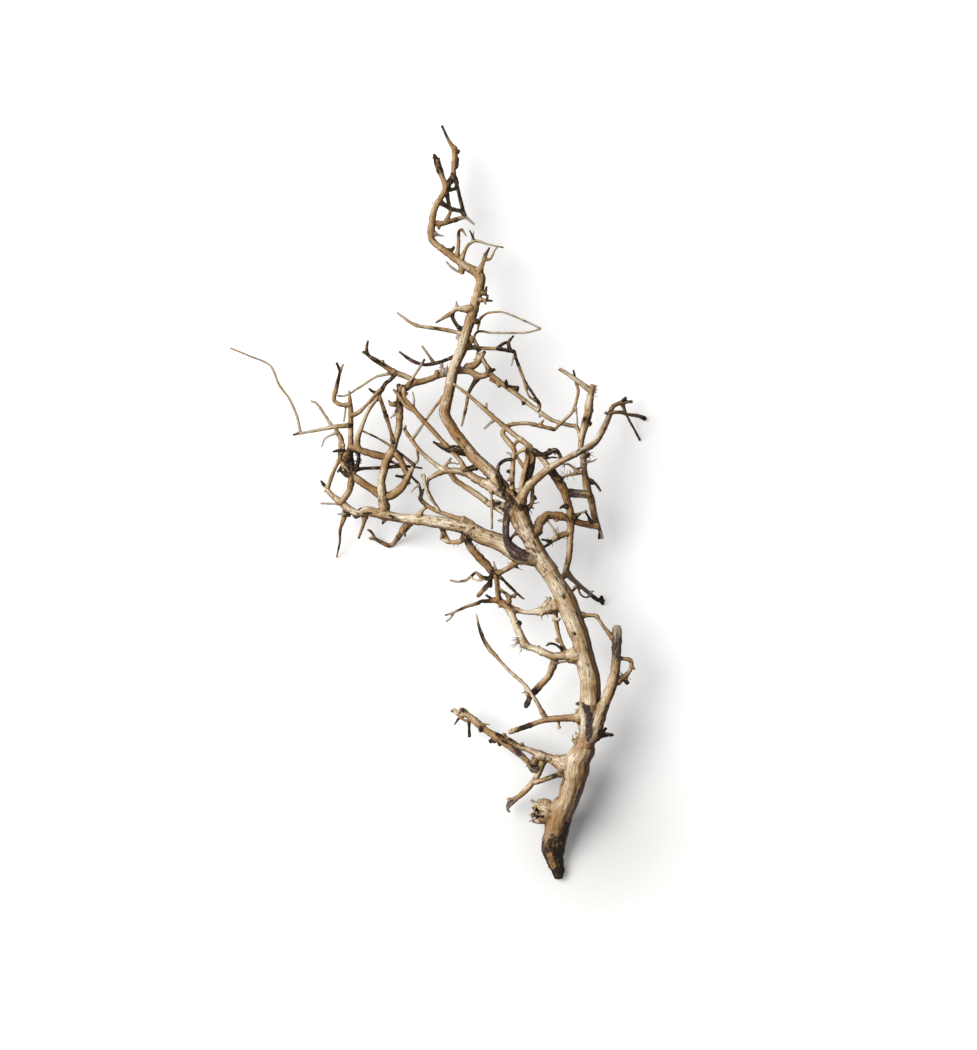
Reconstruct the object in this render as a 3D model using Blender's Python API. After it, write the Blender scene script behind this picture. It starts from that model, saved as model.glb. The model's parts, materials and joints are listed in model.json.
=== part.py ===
"""A weathered, much forked tree branch lying flat, with its peeled wood and its last dark bark.

The branch is drawn in plan, in millimetres, on a field 977 wide and 1050 deep: x runs to the
right and y runs towards the butt. Each limb is a row of (x, y, radius) stations from its foot to
its tip, and its heights above the ground are spread evenly along it. Where a station gives no
radius, it lies between those of its neighbours.
"""

import math

import bpy
from mathutils import Vector

MM = 0.001

# The middle of the branch in the plan, which is where the model has its origin.
X_MID = 438.0
Y_MID = 502.5

# The gap kept where one piece of the branch carries on from another, at a fork.
JOINT_GAP = 0.3

# A station is left out where the limb without it stays this near to its drawn line.
LINE_TOLERANCE = 0.75
GIRTH_TOLERANCE = 0.7

# The corners of a limb's cross-section, by its mean radius.
CORNERS = ((8.0, 10), (4.4, 8), (2.7, 6), (1.5, 5), (0.0, 4))


def spaced_height(heights, share):
    """The height at a share of a limb's length."""
    place = share * (len(heights) - 1)
    low = min(int(place), len(heights) - 2)
    return heights[low] + (heights[low + 1] - heights[low]) * (place - low)


def filled_radii(rows):
    """Each station's radius, read between its neighbours' where it has none."""
    known = [(i, row[2]) for i, row in enumerate(rows) if len(row) > 2]
    radii = []
    for i in range(len(rows)):
        before = [pair for pair in known if pair[0] <= i][-1]
        after = [pair for pair in known if pair[0] >= i]
        after = after[0] if after else before
        span = max(after[0] - before[0], 1)
        radii.append(before[1] + (after[1] - before[1]) * (i - before[0]) / span)
    return radii


def thinned(stations):
    """The stations that the limb needs to keep its line and its girth."""
    if len(stations) < 3:
        return stations
    first, last = stations[0], stations[-1]
    chord = last[0] - first[0]
    worst, at = 0.0, 0
    for i in range(1, len(stations) - 1):
        point, radius = stations[i]
        share = max(0.0, min(1.0, (point - first[0]).dot(chord) / max(chord.length_squared, 1e-9)))
        off = (point - first[0] - chord * share).length / LINE_TOLERANCE
        girth = abs(radius - first[1] - (last[1] - first[1]) * share) / GIRTH_TOLERANCE
        if max(off, girth) > worst:
            worst, at = max(off, girth), i
    if worst <= 1.0:
        return [first, last]
    return thinned(stations[: at + 1])[:-1] + thinned(stations[at:])


class Limb:
    """One limb: its stations in millimetres, in the model's frame."""

    def __init__(self, heights, *rows, follow=None):
        radii = filled_radii(rows)
        flat = [Vector((row[0] - X_MID, Y_MID - row[1], 0.0)) for row in rows]
        if follow:
            flat.insert(0, Vector((follow.end.x, follow.end.y, 0.0)))
            radii.insert(0, follow.stations[-1][1])
        run = [0.0]
        for a, b in zip(flat, flat[1:]):
            run.append(run[-1] + (b - a).length)
        if follow:
            heights = (follow.end.z,) + tuple(heights)
        else:
            heights = tuple(heights) if len(heights) > 1 else tuple(heights) * 2
        points = []
        for at, spot in zip(run, flat):
            points.append(Vector((spot.x, spot.y, spaced_height(heights, at / run[-1]))))
        self.way_in = follow.way_out if follow else None
        if follow:
            points[0] = follow.end + follow.way_out * JOINT_GAP
        self.stations = thinned(list(zip(points, radii)))
        self.end = self.stations[-1][0]
        self.way_out = (self.end - self.stations[-2][0]).normalized()

    def ways(self):
        """The direction of the limb at each station."""
        points = [point for point, _ in self.stations]
        steps = [(b - a).normalized() for a, b in zip(points, points[1:])]
        ways = [self.way_in or steps[0]]
        for a, b in zip(steps, steps[1:]):
            ways.append((a + b).normalized())
        ways.append(steps[-1])
        return ways

    def mesh(self, name):
        """A closed tube of flat faces round the stations, in metres."""
        mean = sum(radius for _, radius in self.stations) / len(self.stations)
        corners = next(count for least, count in CORNERS if mean >= least)
        vertices = []
        faces = []
        side = Vector((0.0, 0.0, -1.0))
        for (point, radius), way in zip(self.stations, self.ways()):
            side = side - way * side.dot(way)
            if side.length < 0.1:
                side = way.orthogonal()
            side.normalize()
            across = way.cross(side)
            for k in range(corners):
                turn = 2.0 * math.pi * k / corners
                spot = point + side * (radius * math.cos(turn)) + across * (radius * math.sin(turn))
                vertices.append(spot * MM)
        rings = len(self.stations)
        for ring in range(rings - 1):
            for k in range(corners):
                a = ring * corners + k
                b = ring * corners + (k + 1) % corners
                faces.append((a, b, b + corners, a + corners))
        faces.append(tuple(reversed(range(corners))))
        faces.append(tuple(range((rings - 1) * corners, rings * corners)))
        mesh = bpy.data.meshes.new(name)
        mesh.from_pydata(vertices, [], faces)
        mesh.update()
        return mesh


def wood(name, colour, roughness):
    """A material for the wood of one piece."""
    material = bpy.data.materials.new(name)
    material.use_nodes = True
    shader = material.node_tree.nodes["Principled BSDF"]
    shader.inputs["Base Color"].default_value = (*colour, 1.0)
    shader.inputs["Roughness"].default_value = roughness
    shader.inputs["Metallic"].default_value = 0.0
    material.diffuse_color = (*colour, 1.0)
    return material


PALE = (0.56, 0.44, 0.29)
TAN = (0.42, 0.29, 0.16)
BROWN = (0.27, 0.17, 0.09)
PURPLE = (0.16, 0.11, 0.10)
DARK = (0.07, 0.05, 0.04)


def piece(name, colour, parent, *limbs):
    """One piece of the branch: its first limb, with the others joined to it."""
    body = bpy.data.objects.new(name, limbs[0].mesh(name))
    body.data.materials.append(wood(name + "_wood", colour, 0.75))
    bpy.context.scene.collection.objects.link(body)
    body.parent = parent
    for polygon in body.data.polygons:
        polygon.use_smooth = True
    if len(limbs) > 1:
        twigs = bpy.data.collections.new(name + "_twigs")
        bpy.context.scene.collection.children.link(twigs)
        for count, limb in enumerate(limbs[1:]):
            twig_name = f"{name}_twig_{count + 1:02d}"
            twig = bpy.data.objects.new(twig_name, limb.mesh(twig_name))
            twig.parent = parent
            twig.hide_render = True
            twig.display_type = "WIRE"
            twigs.objects.link(twig)
        join = body.modifiers.new("join", "BOOLEAN")
        join.operation = "UNION"
        join.operand_type = "COLLECTION"
        join.collection = twigs
        join.solver = "EXACT"
        join.use_self = True
    return body


for old in list(bpy.data.objects):
    bpy.data.objects.remove(old, do_unlink=True)

branch = bpy.data.objects.new("branch", None)
bpy.context.scene.collection.objects.link(branch)

# The butt and the lower trunk, up to where the prong leaves it.
lower_trunk = Limb(
    (4.1, 10.4, 23, 35, 45, 51.5, 56.5, 61.5),
    (558.5, 878.5, 3.5), (557.8, 870, 6.2), (554.8, 860, 8.2), (553.5, 850, 11.5), (554.3, 840, 12.2),
    (556.5, 830, 12.5), (558.5, 820, 13), (561.5, 810, 12), (567.5, 800, 11), (573.7, 780, 12),
    (575.7, 770, 13), (578, 760, 13), (584.5, 750, 12), (586.5, 740, 9), (587, 728, 7.5),
    (588.5, 710, 9.7), (590, 700, 10.2),
)
prong_base = Limb(
    (56, 65, 70),
    (583, 752, 4), (588, 742, 5), (594, 732, 6.4), (597.5, 722, 6.1), (604.5, 702, 5.5),
)
low_base = Limb((45, 42), (568, 765, 8), (560, 761.5, 5), (553, 759, 4.2))
whip_base = Limb((57, 55), (584, 718.3, 4), (574, 717.3, 3.8), (567, 717.5, 3.5))
trunk_base = piece(
    "trunk_base", TAN, branch,
    lower_trunk, prong_base, low_base, whip_base,
    Limb((27, 26), (556, 812, 8), (545, 812, 8), (538, 812, 6.5)),
    Limb((27, 26), (548, 804, 4), (541, 801, 2.6), (531, 798.5, 1.6)),
    Limb((25, 24), (548, 818, 4), (539, 821, 2.6), (532, 820, 1.6)),
    Limb((51, 50), (586, 742, 2.6), (579, 742.5, 2.4), (571.5, 738.5, 1.2)),
    Limb((62, 60, 57), (594, 733, 2.6), (601, 734, 2.2), (611, 734.2, 1.9), (613.5, 734.2, 1.2)),
)

# The broken prong to the right of the trunk, with the loop at its side.
prong_run = Limb(
    (71, 71, 71.5, 72),
    (608.5, 692, 5.5), (612, 682, 5.3), (614, 672, 5), (615.5, 662, 4.7), (616, 652, 4.8),
    (616.5, 636, 4.8), (616.5, 628, 4.6), (616.5, 624.5, 3.5),
    follow=prong_base,
)
prong = piece(
    "prong", TAN, branch,
    prong_run,
    Limb(
        (70, 67, 63, 65, 70),
        (615.5, 658, 2), (620, 658, 1.6), (628.5, 659, 2.2), (631, 662, 2.1), (630, 669, 2.1),
        (625, 675.5, 2.6), (621, 678, 3), (615, 682.5, 3),
    ),
    Limb((65, 63), (624, 678, 2.6), (627.5, 683.5, 1.8)),
)

# The lower left limb with its two strands and the twig that hangs back towards the butt.
low_run = Limb(
    (41.5, 40, 37.5, 34, 31, 28),
    (546, 757, 4.4), (540, 755, 5), (533, 751, 3), (519, 746, 2.6), (507, 739, 3), (498, 737, 4.2),
    (486, 730, 3), (476.5, 722, 3.8), (468, 715, 2.8), (458, 714, 1.8), (453.5, 709.5, 1.5),
    follow=low_base,
)
low_limb = piece(
    "low_limb", TAN, branch,
    low_run,
    Limb(
        (38.5, 36, 36.5, 38),
        (541, 763, 3), (534, 769, 3.6), (528.5, 762, 3), (519, 753, 3), (507, 744, 3.2), (499, 738, 3),
    ),
    Limb((40.5, 38.5), (537, 754, 4), (534, 764, 4.6)),
    Limb(
        (41, 35, 29, 24, 18),
        (543, 756, 3), (542, 763, 3), (537.5, 775, 3), (529, 786.5, 3), (519, 796, 2.6), (510, 803, 3.2),
        (507.5, 809, 1.5), (510, 812, 1),
    ),
    Limb((34, 38), (536, 782, 2.4), (546, 778.5, 2.6), (558, 774.5, 2.2)),
    Limb((30, 30), (458, 713.5, 1.6), (461.5, 709, 1.8), (468, 713.5, 1.8)),
    Limb((30, 26), (464, 715, 1.6), (459, 718, 1.2), (454.5, 724.5, 0.9)),
    Limb((31, 27, 24), (469, 716, 2), (469.2, 728, 1.4), (469.5, 737, 1.7)),
    Limb((35, 33), (499, 737.5, 2.4), (489, 741.5, 1.6)),
)

# The middle of the trunk, with the stub of the twig to the left and the thin twig to the prong.
middle_trunk = Limb(
    (65.5, 70, 73, 75.5, 77.5, 79),
    (590, 680, 9.9), (585.3, 660, 9.6), (583, 650, 9.3), (581, 640, 9.3), (577, 630, 9.6),
    (573.3, 620, 9.7), (565.5, 600, 9.8), (560.5, 590, 9.6), (548.5, 570, 9),
    follow=lower_trunk,
)
side_base = Limb((69.5, 68), (580, 655, 6), (573, 655, 5.5), (566, 655, 4.5))
trunk_middle = piece(
    "trunk_middle", TAN, branch,
    middle_trunk, side_base,
    Limb(
        (74, 74, 72),
        (574, 615, 2.5), (586, 615, 1.8), (595.5, 615.5, 2.1), (603, 626, 1.6), (609, 633.5, 1.6),
    ),
    Limb((68.5, 67), (577, 662.5, 1.5), (568, 661, 1.2), (561.5, 661.7, 1.1)),
)

# The slender limb to the left of the trunk, whose thin end sweeps up over the branches beside it.
whip_run = Limb(
    (54.5, 53, 50, 47, 44),
    (560, 718, 3.2), (547, 719, 3), (540, 721, 2.6), (526, 726, 2.6), (513, 730.5, 2.7), (508.5, 731.5, 2.6),
    follow=whip_base,
)
whip_limb = piece(
    "whip_limb", TAN, branch,
    whip_run,
    Limb(
        (53, 59, 60, 57, 54, 50, 46, 42, 38),
        (547, 719, 2.6), (543.5, 714, 2.6), (537.5, 703, 2), (530.5, 692, 2), (523, 682.5, 1.8),
        (512, 673, 1.7), (500, 660.5, 1.7), (495, 654.5, 2.2), (490.5, 650, 2.4), (484, 640, 2),
        (479.5, 628, 1.6), (477, 618, 1.1), (476, 613.5, 0.8),
    ),
    Limb((51.5, 50), (559, 717, 1.6), (558.5, 724.5, 1.3), (559.5, 728, 1.8)),
)

# The limb from the middle of the trunk, with its forks up, down and far to the left.
side_run = Limb(
    (67.5, 65.5, 62, 58, 55),
    (559, 656, 4.2), (553, 655.5, 3.8), (547, 653.5, 3.6), (535, 648.5, 3.4), (529, 646.5, 3.6),
    (524, 643, 4.8), (519.5, 633, 3.6), (517, 627, 3.8), (511, 613, 3.5), (506.5, 605, 4),
    follow=side_base,
)
side_limb = piece(
    "side_limb", BROWN, branch,
    side_run,
    Limb(
        (66, 58, 52, 48, 44),
        (555, 657, 4), (553, 665, 3.8), (549, 675, 3.4), (541.5, 683.5, 3.4), (535.5, 690, 3.6),
        (530, 697, 2.6), (525, 708.5, 1.6),
    ),
    Limb(
        (67, 67.5, 66),
        (562, 655, 3), (564, 650, 2), (562, 645, 1.8), (558.5, 634, 2), (556, 622, 2.4), (555.5, 612, 2),
    ),
    Limb((69, 72, 74), (563, 650, 1.6), (556, 644.5, 1.3), (549.5, 643, 1.3), (545.5, 646, 1)),
    Limb(
        (53, 55, 58, 62, 66),
        (500, 601.5, 4), (511, 608, 3.8), (524, 612, 2.7), (531, 612, 2.6), (538, 611.5, 3.2),
        (551, 609, 5.6),
    ),
    Limb((66, 65), (541, 616, 1.5), (546, 605, 3.4), (550.5, 597, 1.8)),
    Limb((68, 70), (553, 616, 2), (557, 619, 1.7), (560.5, 618.5, 1.5)),
    Limb(
        (53, 48, 43, 40, 36),
        (502, 601.5, 3), (496, 600, 2.4), (486, 601, 2.2), (481, 601, 1.7), (478, 603, 2), (468, 606, 1.7),
        (449, 614, 1.3), (444.5, 615.3, 1),
    ),
    Limb((37, 35), (454, 612.5, 1.5), (451, 617.5, 1.2), (446, 621.5, 1.2)),
    Limb((55, 56), (500, 601, 2), (492, 598.5, 1.5), (485.5, 594.5, 1.3)),
)

# The crown of the trunk, where its main limbs part.
upper_trunk = Limb(
    (79, 80.5, 82, 83.5, 85),
    (541, 560, 9.3), (536.5, 549.5, 7.9), (531.2, 540, 7.6), (525.8, 530, 8.3), (522.3, 520, 8.4),
    (518.8, 510, 8.2),
    (515.5, 503, 7),
    follow=middle_trunk,
)
leader_base = Limb(
    (85, 84, 82),
    (520, 508, 7.5), (513, 498.5, 7), (508, 493, 6.5), (498.5, 483, 6), (494, 476.5, 6),
)
tan_base = Limb((84, 80.5), (511, 498, 5.5), (500, 490.5, 4.6), (488, 485, 4.6), (481, 481.5, 4.4))
left_base = Limb(
    (80, 79, 75, 73),
    (534, 559, 6.8), (522, 556.5, 6.9), (512, 551.5, 7.5), (503, 544.3, 8.5), (490, 538.8, 8.3),
    (480, 534.8, 8.2),
)
right_base = Limb((88, 90, 91), (518, 509, 4.5), (522, 498, 4), (526, 490, 4.2))
cross_base = Limb((82, 78), (529, 540, 6), (532, 534, 5), (538.5, 528, 4.3))
upright_base = Limb((86, 86), (519, 506, 4), (520.5, 498, 2.6), (521, 490, 2.5))
crown = piece(
    "crown", TAN, branch,
    upper_trunk, leader_base, tan_base, left_base, right_base, cross_base, upright_base,
    Limb(
        (84, 86, 87, 86, 84),
        (511, 501, 4), (509, 507, 3.4), (507.2, 515, 3.4), (506, 525, 3.3), (506, 535, 3.2), (506.8, 541, 3.3),
        (510, 547, 3.6), (516, 552.5, 4.2), (524, 556.5, 4.6), (532, 558, 4.5),
    ),
    Limb((85, 82), (513, 500, 4), (513.5, 516, 4.5), (520, 530, 4.6), (531, 545, 5)),
    Limb((85, 83), (507, 537, 1.4), (514, 535.5, 1.6), (520, 531.5, 1.6)),
    Limb((80, 77.5, 77), (509, 516, 3), (500, 510, 2.8), (488.5, 503.5, 3.2), (484, 500, 2.8)),
    Limb((83, 82, 81), (533, 486.5, 1.7), (532, 495, 2.1), (531.5, 504, 2.2), (523, 511, 2.6)),
)

# The left main limb, out to where it carries the limbs that stand up from it.
left_run = Limb(
    (71, 69, 66, 63, 60, 56),
    (470, 529, 7.6), (460, 526, 6.6), (450, 524.6, 5.8), (440, 522.7, 5.6), (430, 521, 5.4), (417, 519.5, 5.5),
    follow=left_base,
)
spray_base = Limb((70, 67), (470, 528, 4), (468, 534, 4), (468, 541, 3.6))
left_limb = piece(
    "left_limb", TAN, branch,
    left_run, spray_base,
    Limb(
        (72, 71, 69, 67, 67),
        (478, 531, 3), (471, 523, 3), (464, 520.5, 2.8), (451, 516, 2.2), (438, 511.5, 2.2), (428, 506, 2.3),
        (423, 502, 2.4), (420.5, 498, 2.2), (424.5, 488.5, 1.1),
    ),
    Limb((67, 62, 59), (429, 506, 1.8), (424, 509, 1.7), (420.5, 516, 2)),
    Limb((66, 63, 60), (466, 534, 3), (460, 541.5, 2.4), (450, 542, 2.1), (439.5, 538.5, 1.3)),
    Limb((62, 61, 60), (442, 525, 2.4), (443.5, 531, 1.8), (448, 540, 1.6)),
    Limb(
        (68.5, 72, 76.5, 79, 80),
        (439.5, 511.8, 1.8), (436.5, 506, 1.6), (429.5, 495, 2), (425, 483, 2), (421.5, 474, 1.1),
    ),
    Limb((66, 64, 62), (421.8, 494, 1.8), (419, 484, 1.5), (416.5, 481.5, 1.4), (413.2, 478.4, 1.1)),
)

# The far end of the left main limb, which comes down to the ground at its knee and at its last twig.
left_end = piece(
    "left_end", BROWN, branch,
    Limb(
        (52, 48, 44, 41, 38, 34, 30),
        (410, 519, 5), (395, 517, 4.6), (381, 514, 4.8), (368, 511.5, 4.6), (357, 513, 3.7), (347, 507.5, 4),
        (342, 503, 3.6), (332, 495, 2.7), (323.5, 484, 1.7), (321, 480.5, 1),
        follow=left_run,
    ),
    Limb(
        (52, 42, 32, 21, 9, 2.2, 2.3, 5),
        (407, 520.5, 3.6), (406.5, 525, 3.8), (404, 529, 3.6), (400.5, 534, 3), (397, 539, 2.6),
        (393, 544, 2.2),
        (388.5, 545.5, 2.2), (380, 541.5, 2),
    ),
    Limb((5, 9, 12), (381, 542, 2), (375, 539, 1.8), (369, 538, 1.2)),
    Limb((9, 13, 18), (376, 539.5, 1.6), (371, 531.5, 1.4), (367.5, 529.5, 1)),
    Limb(
        (39, 32, 23, 13, 2),
        (347, 508, 3.4), (344, 519, 2.3), (340.5, 529, 1.7), (340, 541, 1.3), (339, 547, 1.1),
        (336.5, 557.5, 0.8),
    ),
    Limb((41, 34, 24), (366, 512, 3), (364, 523, 1.8), (358.7, 538.5, 1.3)),
    Limb((30, 34), (320.5, 503.5, 1.1), (341, 504, 1.4)),
    Limb((37, 36), (348, 509, 3.4), (349, 515, 2.6)),
    Limb((42, 41), (361, 511, 3), (359, 515.5, 2.2)),
)

# The spray of twigs in the lap between the left main limb and the trunk.
spray = piece(
    "spray", DARK, branch,
    Limb(
        (65.5, 62, 60, 60),
        (472, 549, 3.8), (481, 559, 3.9), (487, 565, 3.9), (491, 570, 3.6), (495, 572, 2.6),
        follow=spray_base,
    ),
    Limb((60, 63, 69), (493, 571, 2.4), (500, 572, 2.4), (509, 567.5, 2.8), (515, 562, 3.2)),
    Limb((60, 58, 56), (494, 571, 2.2), (491, 576.5, 2), (490.5, 586, 1.8)),
    Limb((57.5, 52, 46), (490.5, 582, 2.4), (486, 587, 2.6), (479, 594.5, 2.2), (477.5, 596.5, 1.6)),
    Limb(
        (58, 61, 56, 50, 46),
        (490.5, 579, 2.4), (482, 577, 2), (476, 572.5, 1.5), (473, 574.5, 1.4), (466, 580, 1.4),
        (457, 581.5, 1.3), (450, 580, 0.9),
    ),
    Limb((60, 57, 55), (495, 572, 2), (496, 583, 1.7), (496.5, 589, 1.8), (497, 595, 1.7)),
    Limb(
        (60, 62, 64),
        (496, 572, 2), (499.5, 576, 1.5), (511, 587.5, 1.5), (519, 595, 1.2), (524, 599, 1),
    ),
    Limb((57, 57, 56), (496.5, 586, 1.3), (503, 591.5, 1.5), (508.5, 595.5, 2.3)),
    Limb((56.5, 58), (507, 596, 1.8), (511, 596.5, 1.7), (517, 592.5, 1.6)),
)

# The limb that stands up from the left main limb, with its loop and the twigs that cross it.
limb_b_run = Limb(
    (51, 53, 57, 60, 64, 67, 70),
    (384, 506, 4.6), (382.5, 498, 4.5), (382, 480, 4), (384.5, 470, 4), (387, 460, 4.2), (391.6, 453, 4.2),
    (394.3, 446.1, 3.6), (399.2, 428.2, 3.4), (400.1, 410.4, 3.4), (400, 401, 3.4), (400.2, 388, 3.1),
)
limb_b = piece(
    "limb_b", BROWN, branch,
    limb_b_run,
    Limb(
        (66, 61, 56, 52, 51),
        (414.5, 465, 1.8), (409, 476, 2.8), (402.5, 487, 4), (397, 492, 4), (391, 495.5, 4), (384, 497, 4),
    ),
    Limb((61, 60, 59, 57), (391, 450, 2.4), (399, 457, 3), (405, 469, 3), (409, 478, 2.8)),
    Limb((58, 58), (407, 477.5, 1.6), (395.5, 476, 1.3)),
    Limb((67, 66), (400, 404, 2.6), (391.6, 404.6, 1.8), (388.5, 400.5, 1)),
    Limb(
        (70, 71, 69, 67),
        (363, 431.3, 1), (377.3, 438, 1.1), (390.7, 446.1, 1.4), (404.1, 456.8, 1.6), (413.9, 464.8, 1.8),
    ),
    Limb((54, 53.5, 54), (364, 468.6, 1.5), (383.8, 467.8, 1.8), (403.7, 466.2, 1.6), (422.9, 468.4, 1)),
)

# The post at the far left, with its twin, its clawed head and the long whip to the left.
post_foot = Limb(
    (40, 44, 50, 51),
    (344, 498, 3), (347, 495, 2.8), (350, 490, 2.8), (351.5, 480, 3), (352, 471, 3.4),
)
left_post = piece(
    "left_post", BROWN, branch,
    Limb(
        (51, 56, 60, 63, 66, 69),
        (352, 472, 3.4), (351, 465, 3.8), (350, 455, 3.6), (351, 446, 3), (351.3, 437.1, 2.7),
        (351.2, 410.4, 2.6), (350.4, 401.4, 1.9), (349.5, 391, 1.2),
    ),
    post_foot,
    Limb(
        (53, 50.5, 50, 51),
        (341, 457, 2.4), (344, 465, 2.8), (353, 475.5, 3.6), (364, 484, 4), (373, 489.5, 3.4),
    ),
    Limb((62, 58, 54), (336, 429, 2), (341.5, 440, 3), (340.5, 452, 2.4), (341, 459, 2.4)),
    Limb((54, 44, 37), (341, 457, 2), (335, 469, 2), (328.5, 485, 2)),
    Limb((60, 56, 51), (351, 449, 2.4), (358.5, 453, 1.9), (358, 464, 2), (353, 473, 2.6)),
    Limb((64, 60, 56), (351, 425.5, 2.6), (336.1, 426.9, 2.1), (320, 430, 1.7), (298.6, 434, 1.3)),
    Limb(
        (56, 52, 47, 42, 38),
        (301, 433, 1.4), (297.7, 417.5, 1.3), (290.1, 399.6, 1.2), (279.8, 385.4, 1.1), (270.4, 365.7, 1.1),
        (249.5, 356.1, 0.9), (230.5, 348.2, 0.8),
    ),
    Limb((61, 59, 56), (332.9, 427.5, 1.6), (320.9, 408.6, 1.3), (316.4, 403.2, 1.2), (311.1, 401.4, 1)),
    Limb((62, 60), (338, 432.5, 1.3), (325.4, 438.9, 1), (322.2, 447.4, 0.8)),
    Limb(
        (67, 68, 70, 72),
        (351, 405, 2.4), (340.5, 405, 2.2), (334.5, 400, 2.2), (337, 388, 2), (341.2, 370, 1.5),
    ),
    Limb((72, 74), (340.8, 372, 1.4), (337, 363, 1.2)),
    Limb((72, 74), (341, 372, 1.2), (343.9, 364.5, 1)),
)

# The slanting limb between the post and the limb that stands beside it.
slanted = piece(
    "slanted", TAN, branch,
    Limb(
        (70, 70, 69, 67, 64, 62),
        (392, 378.8, 1.7), (385.4, 384.5, 2), (379.1, 396.1, 2), (368.8, 410.9, 1.9), (364.9, 420, 1.9),
        (358.5, 437, 2.8), (358, 445, 3.1), (360, 450, 3.2), (374.6, 454.6, 3.6), (380.5, 456, 3.2),
    ),
    Limb((71, 69, 67), (380, 390.5, 1.8), (370.2, 401.4, 1.6), (359.5, 412.6, 2), (356, 414.3, 2)),
    Limb((70, 68, 65.5), (379.5, 396, 1.8), (383.6, 407.7, 2), (391.6, 433.6, 1.8), (392, 440, 1.2)),
)

# The pale limb from the crown towards the left, with its twin below and the slanting strands above.
tan_run = Limb(
    (79.5, 79, 78, 75, 69),
    (474, 478, 4.2), (468, 474, 3.6), (455, 471, 3.2), (442, 472.5, 2.6), (430.5, 478, 2.2),
    (427.6, 482, 1.8), (428, 489, 1.1),
    follow=tan_base,
)
tan_limb = piece(
    "tan_limb", PALE, branch,
    tan_run,
    Limb((78, 77, 77, 78), (450, 472, 2.8), (456, 480.5, 2.6), (467, 488, 2.8), (481, 497.8, 2.8)),
    Limb(
        (79.5, 78, 77, 76, 74),
        (465, 472, 2.4), (461.3, 462.1, 2.2), (444.3, 443.4, 2.2), (430, 427.8, 2.4), (410.4, 405.9, 2.4),
        (405, 398.5, 2), (404.3, 391, 1.8),
    ),
    Limb((76, 76.5, 75), (414, 411, 2), (406.8, 406.8, 2), (397.9, 394.3, 1.7), (393.8, 390.3, 1.2)),
    Limb(
        (79, 77, 75, 74),
        (455, 471, 2.6), (441.6, 468.4, 2.2), (422.9, 453.7, 2), (411.7, 439.8, 2), (405.4, 430.4, 1.8),
        (406, 425.5, 1.2),
    ),
    Limb((76, 71, 66), (417.5, 449, 1.6), (418.4, 459, 1.2), (417, 463, 1.2)),
    Limb((77, 75, 72, 71), (414, 438, 1.6), (422, 426.4, 1.5), (436.3, 405.9, 1.5), (442.3, 398.5, 1.4)),
    Limb((78, 78), (443.5, 469, 1.6), (448, 462.5, 1.6), (451.7, 458, 1)),
    Limb((80, 80), (464, 471.5, 2.6), (472, 468.8, 2.2)),
    Limb((76.5, 77), (455, 450.6, 3.2), (450.5, 449.6, 3.4), (444.3, 447.9, 2.6), (433, 442, 1.2)),
)

# The leader, from the crown to the bend at its head.
leader_low_run = Limb(
    (81, 79, 77, 76, 75, 74),
    (483, 465.5, 5.6), (476.5, 460, 5.6), (464.8, 445.2, 5.4), (454.1, 430.9, 5), (448.8, 422.9, 5.2),
    (444.7, 413.9, 5.4), (447.9, 397.9, 5), (450.1, 387.1, 5),
    follow=leader_base,
)
leader_low = piece(
    "leader_low", TAN, branch,
    leader_low_run,
)
leader_mid_run = Limb(
    (74, 71, 68.5, 66, 63, 60, 57.5),
    (453.5, 371, 5), (455.5, 365, 5.2), (461.6, 350.4, 5.4), (466.5, 332.5, 5), (472.3, 314.6, 4.8),
    (476.8, 297.7, 4.6), (480.5, 284, 4.4), (480.4, 277.5, 4.7), (475.9, 272.7, 4.6),
    (467.9, 268.2, 4),
    follow=leader_low_run,
)
leader_mid = piece(
    "leader_mid", BROWN, branch,
    leader_mid_run,
    Limb(
        (67, 66, 66),
        (471, 309.5, 3.6), (462.5, 309.7, 2.8), (456.3, 309.7, 2.4), (450, 314.6, 2.1), (435.7, 323.6, 1),
    ),
    Limb((66, 67, 68), (453.5, 311, 1.9), (452.7, 318.2, 1.8), (458.9, 328, 1.8), (466, 331, 1.8)),
    Limb((66, 66), (457, 309, 1.4), (456.5, 301.5, 1)),
    Limb(
        (58, 61, 64, 67),
        (397, 313, 1), (408.9, 321.8, 1.4), (417.9, 326.3, 1.8), (444.6, 330.3, 2), (466, 335, 2),
    ),
    Limb((69, 69), (469, 322.5, 2), (479, 322, 1.9)),
    Limb(
        (69, 72, 73, 74),
        (478.4, 322.5, 1.4), (481.3, 318.2, 1.3), (487.5, 313.8, 1.2), (502.7, 313, 1.1), (525, 321.8, 1.1),
        (541, 329.4, 1.1),
    ),
    Limb(
        (70, 71, 73, 74),
        (464, 346, 1.6), (470.5, 344.1, 1.4), (477.7, 332.5, 1.3), (491.1, 333.4, 1.2), (525, 333.2, 1.2),
        (541, 329.8, 1.1),
    ),
    Limb((69, 68), (467, 339, 2.2), (473.2, 339.6, 2), (479.3, 352.5, 2.3)),
    Limb((65, 66), (476, 297, 2.4), (480.4, 300.4, 1.7), (492.9, 301.7, 1)),
    Limb((64, 64), (477, 292.5, 2), (484.5, 293.5, 1.5), (486.8, 287, 1)),
    Limb((61, 62), (479, 273, 2.8), (482.1, 265.5, 2.1), (485.5, 256, 1.9), (489.7, 248.1, 0.9)),
    Limb((61.5, 62), (485.2, 260.5, 1.6), (490.2, 259.7, 1.3), (494.6, 251.3, 1.1), (497.8, 247.7, 0.8)),
    Limb(
        (70, 72, 76, 78),
        (464, 346.8, 2.4), (475.9, 348.6, 2), (498.2, 349.5, 1.9), (506, 350.6, 1.9),
    ),
)

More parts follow.
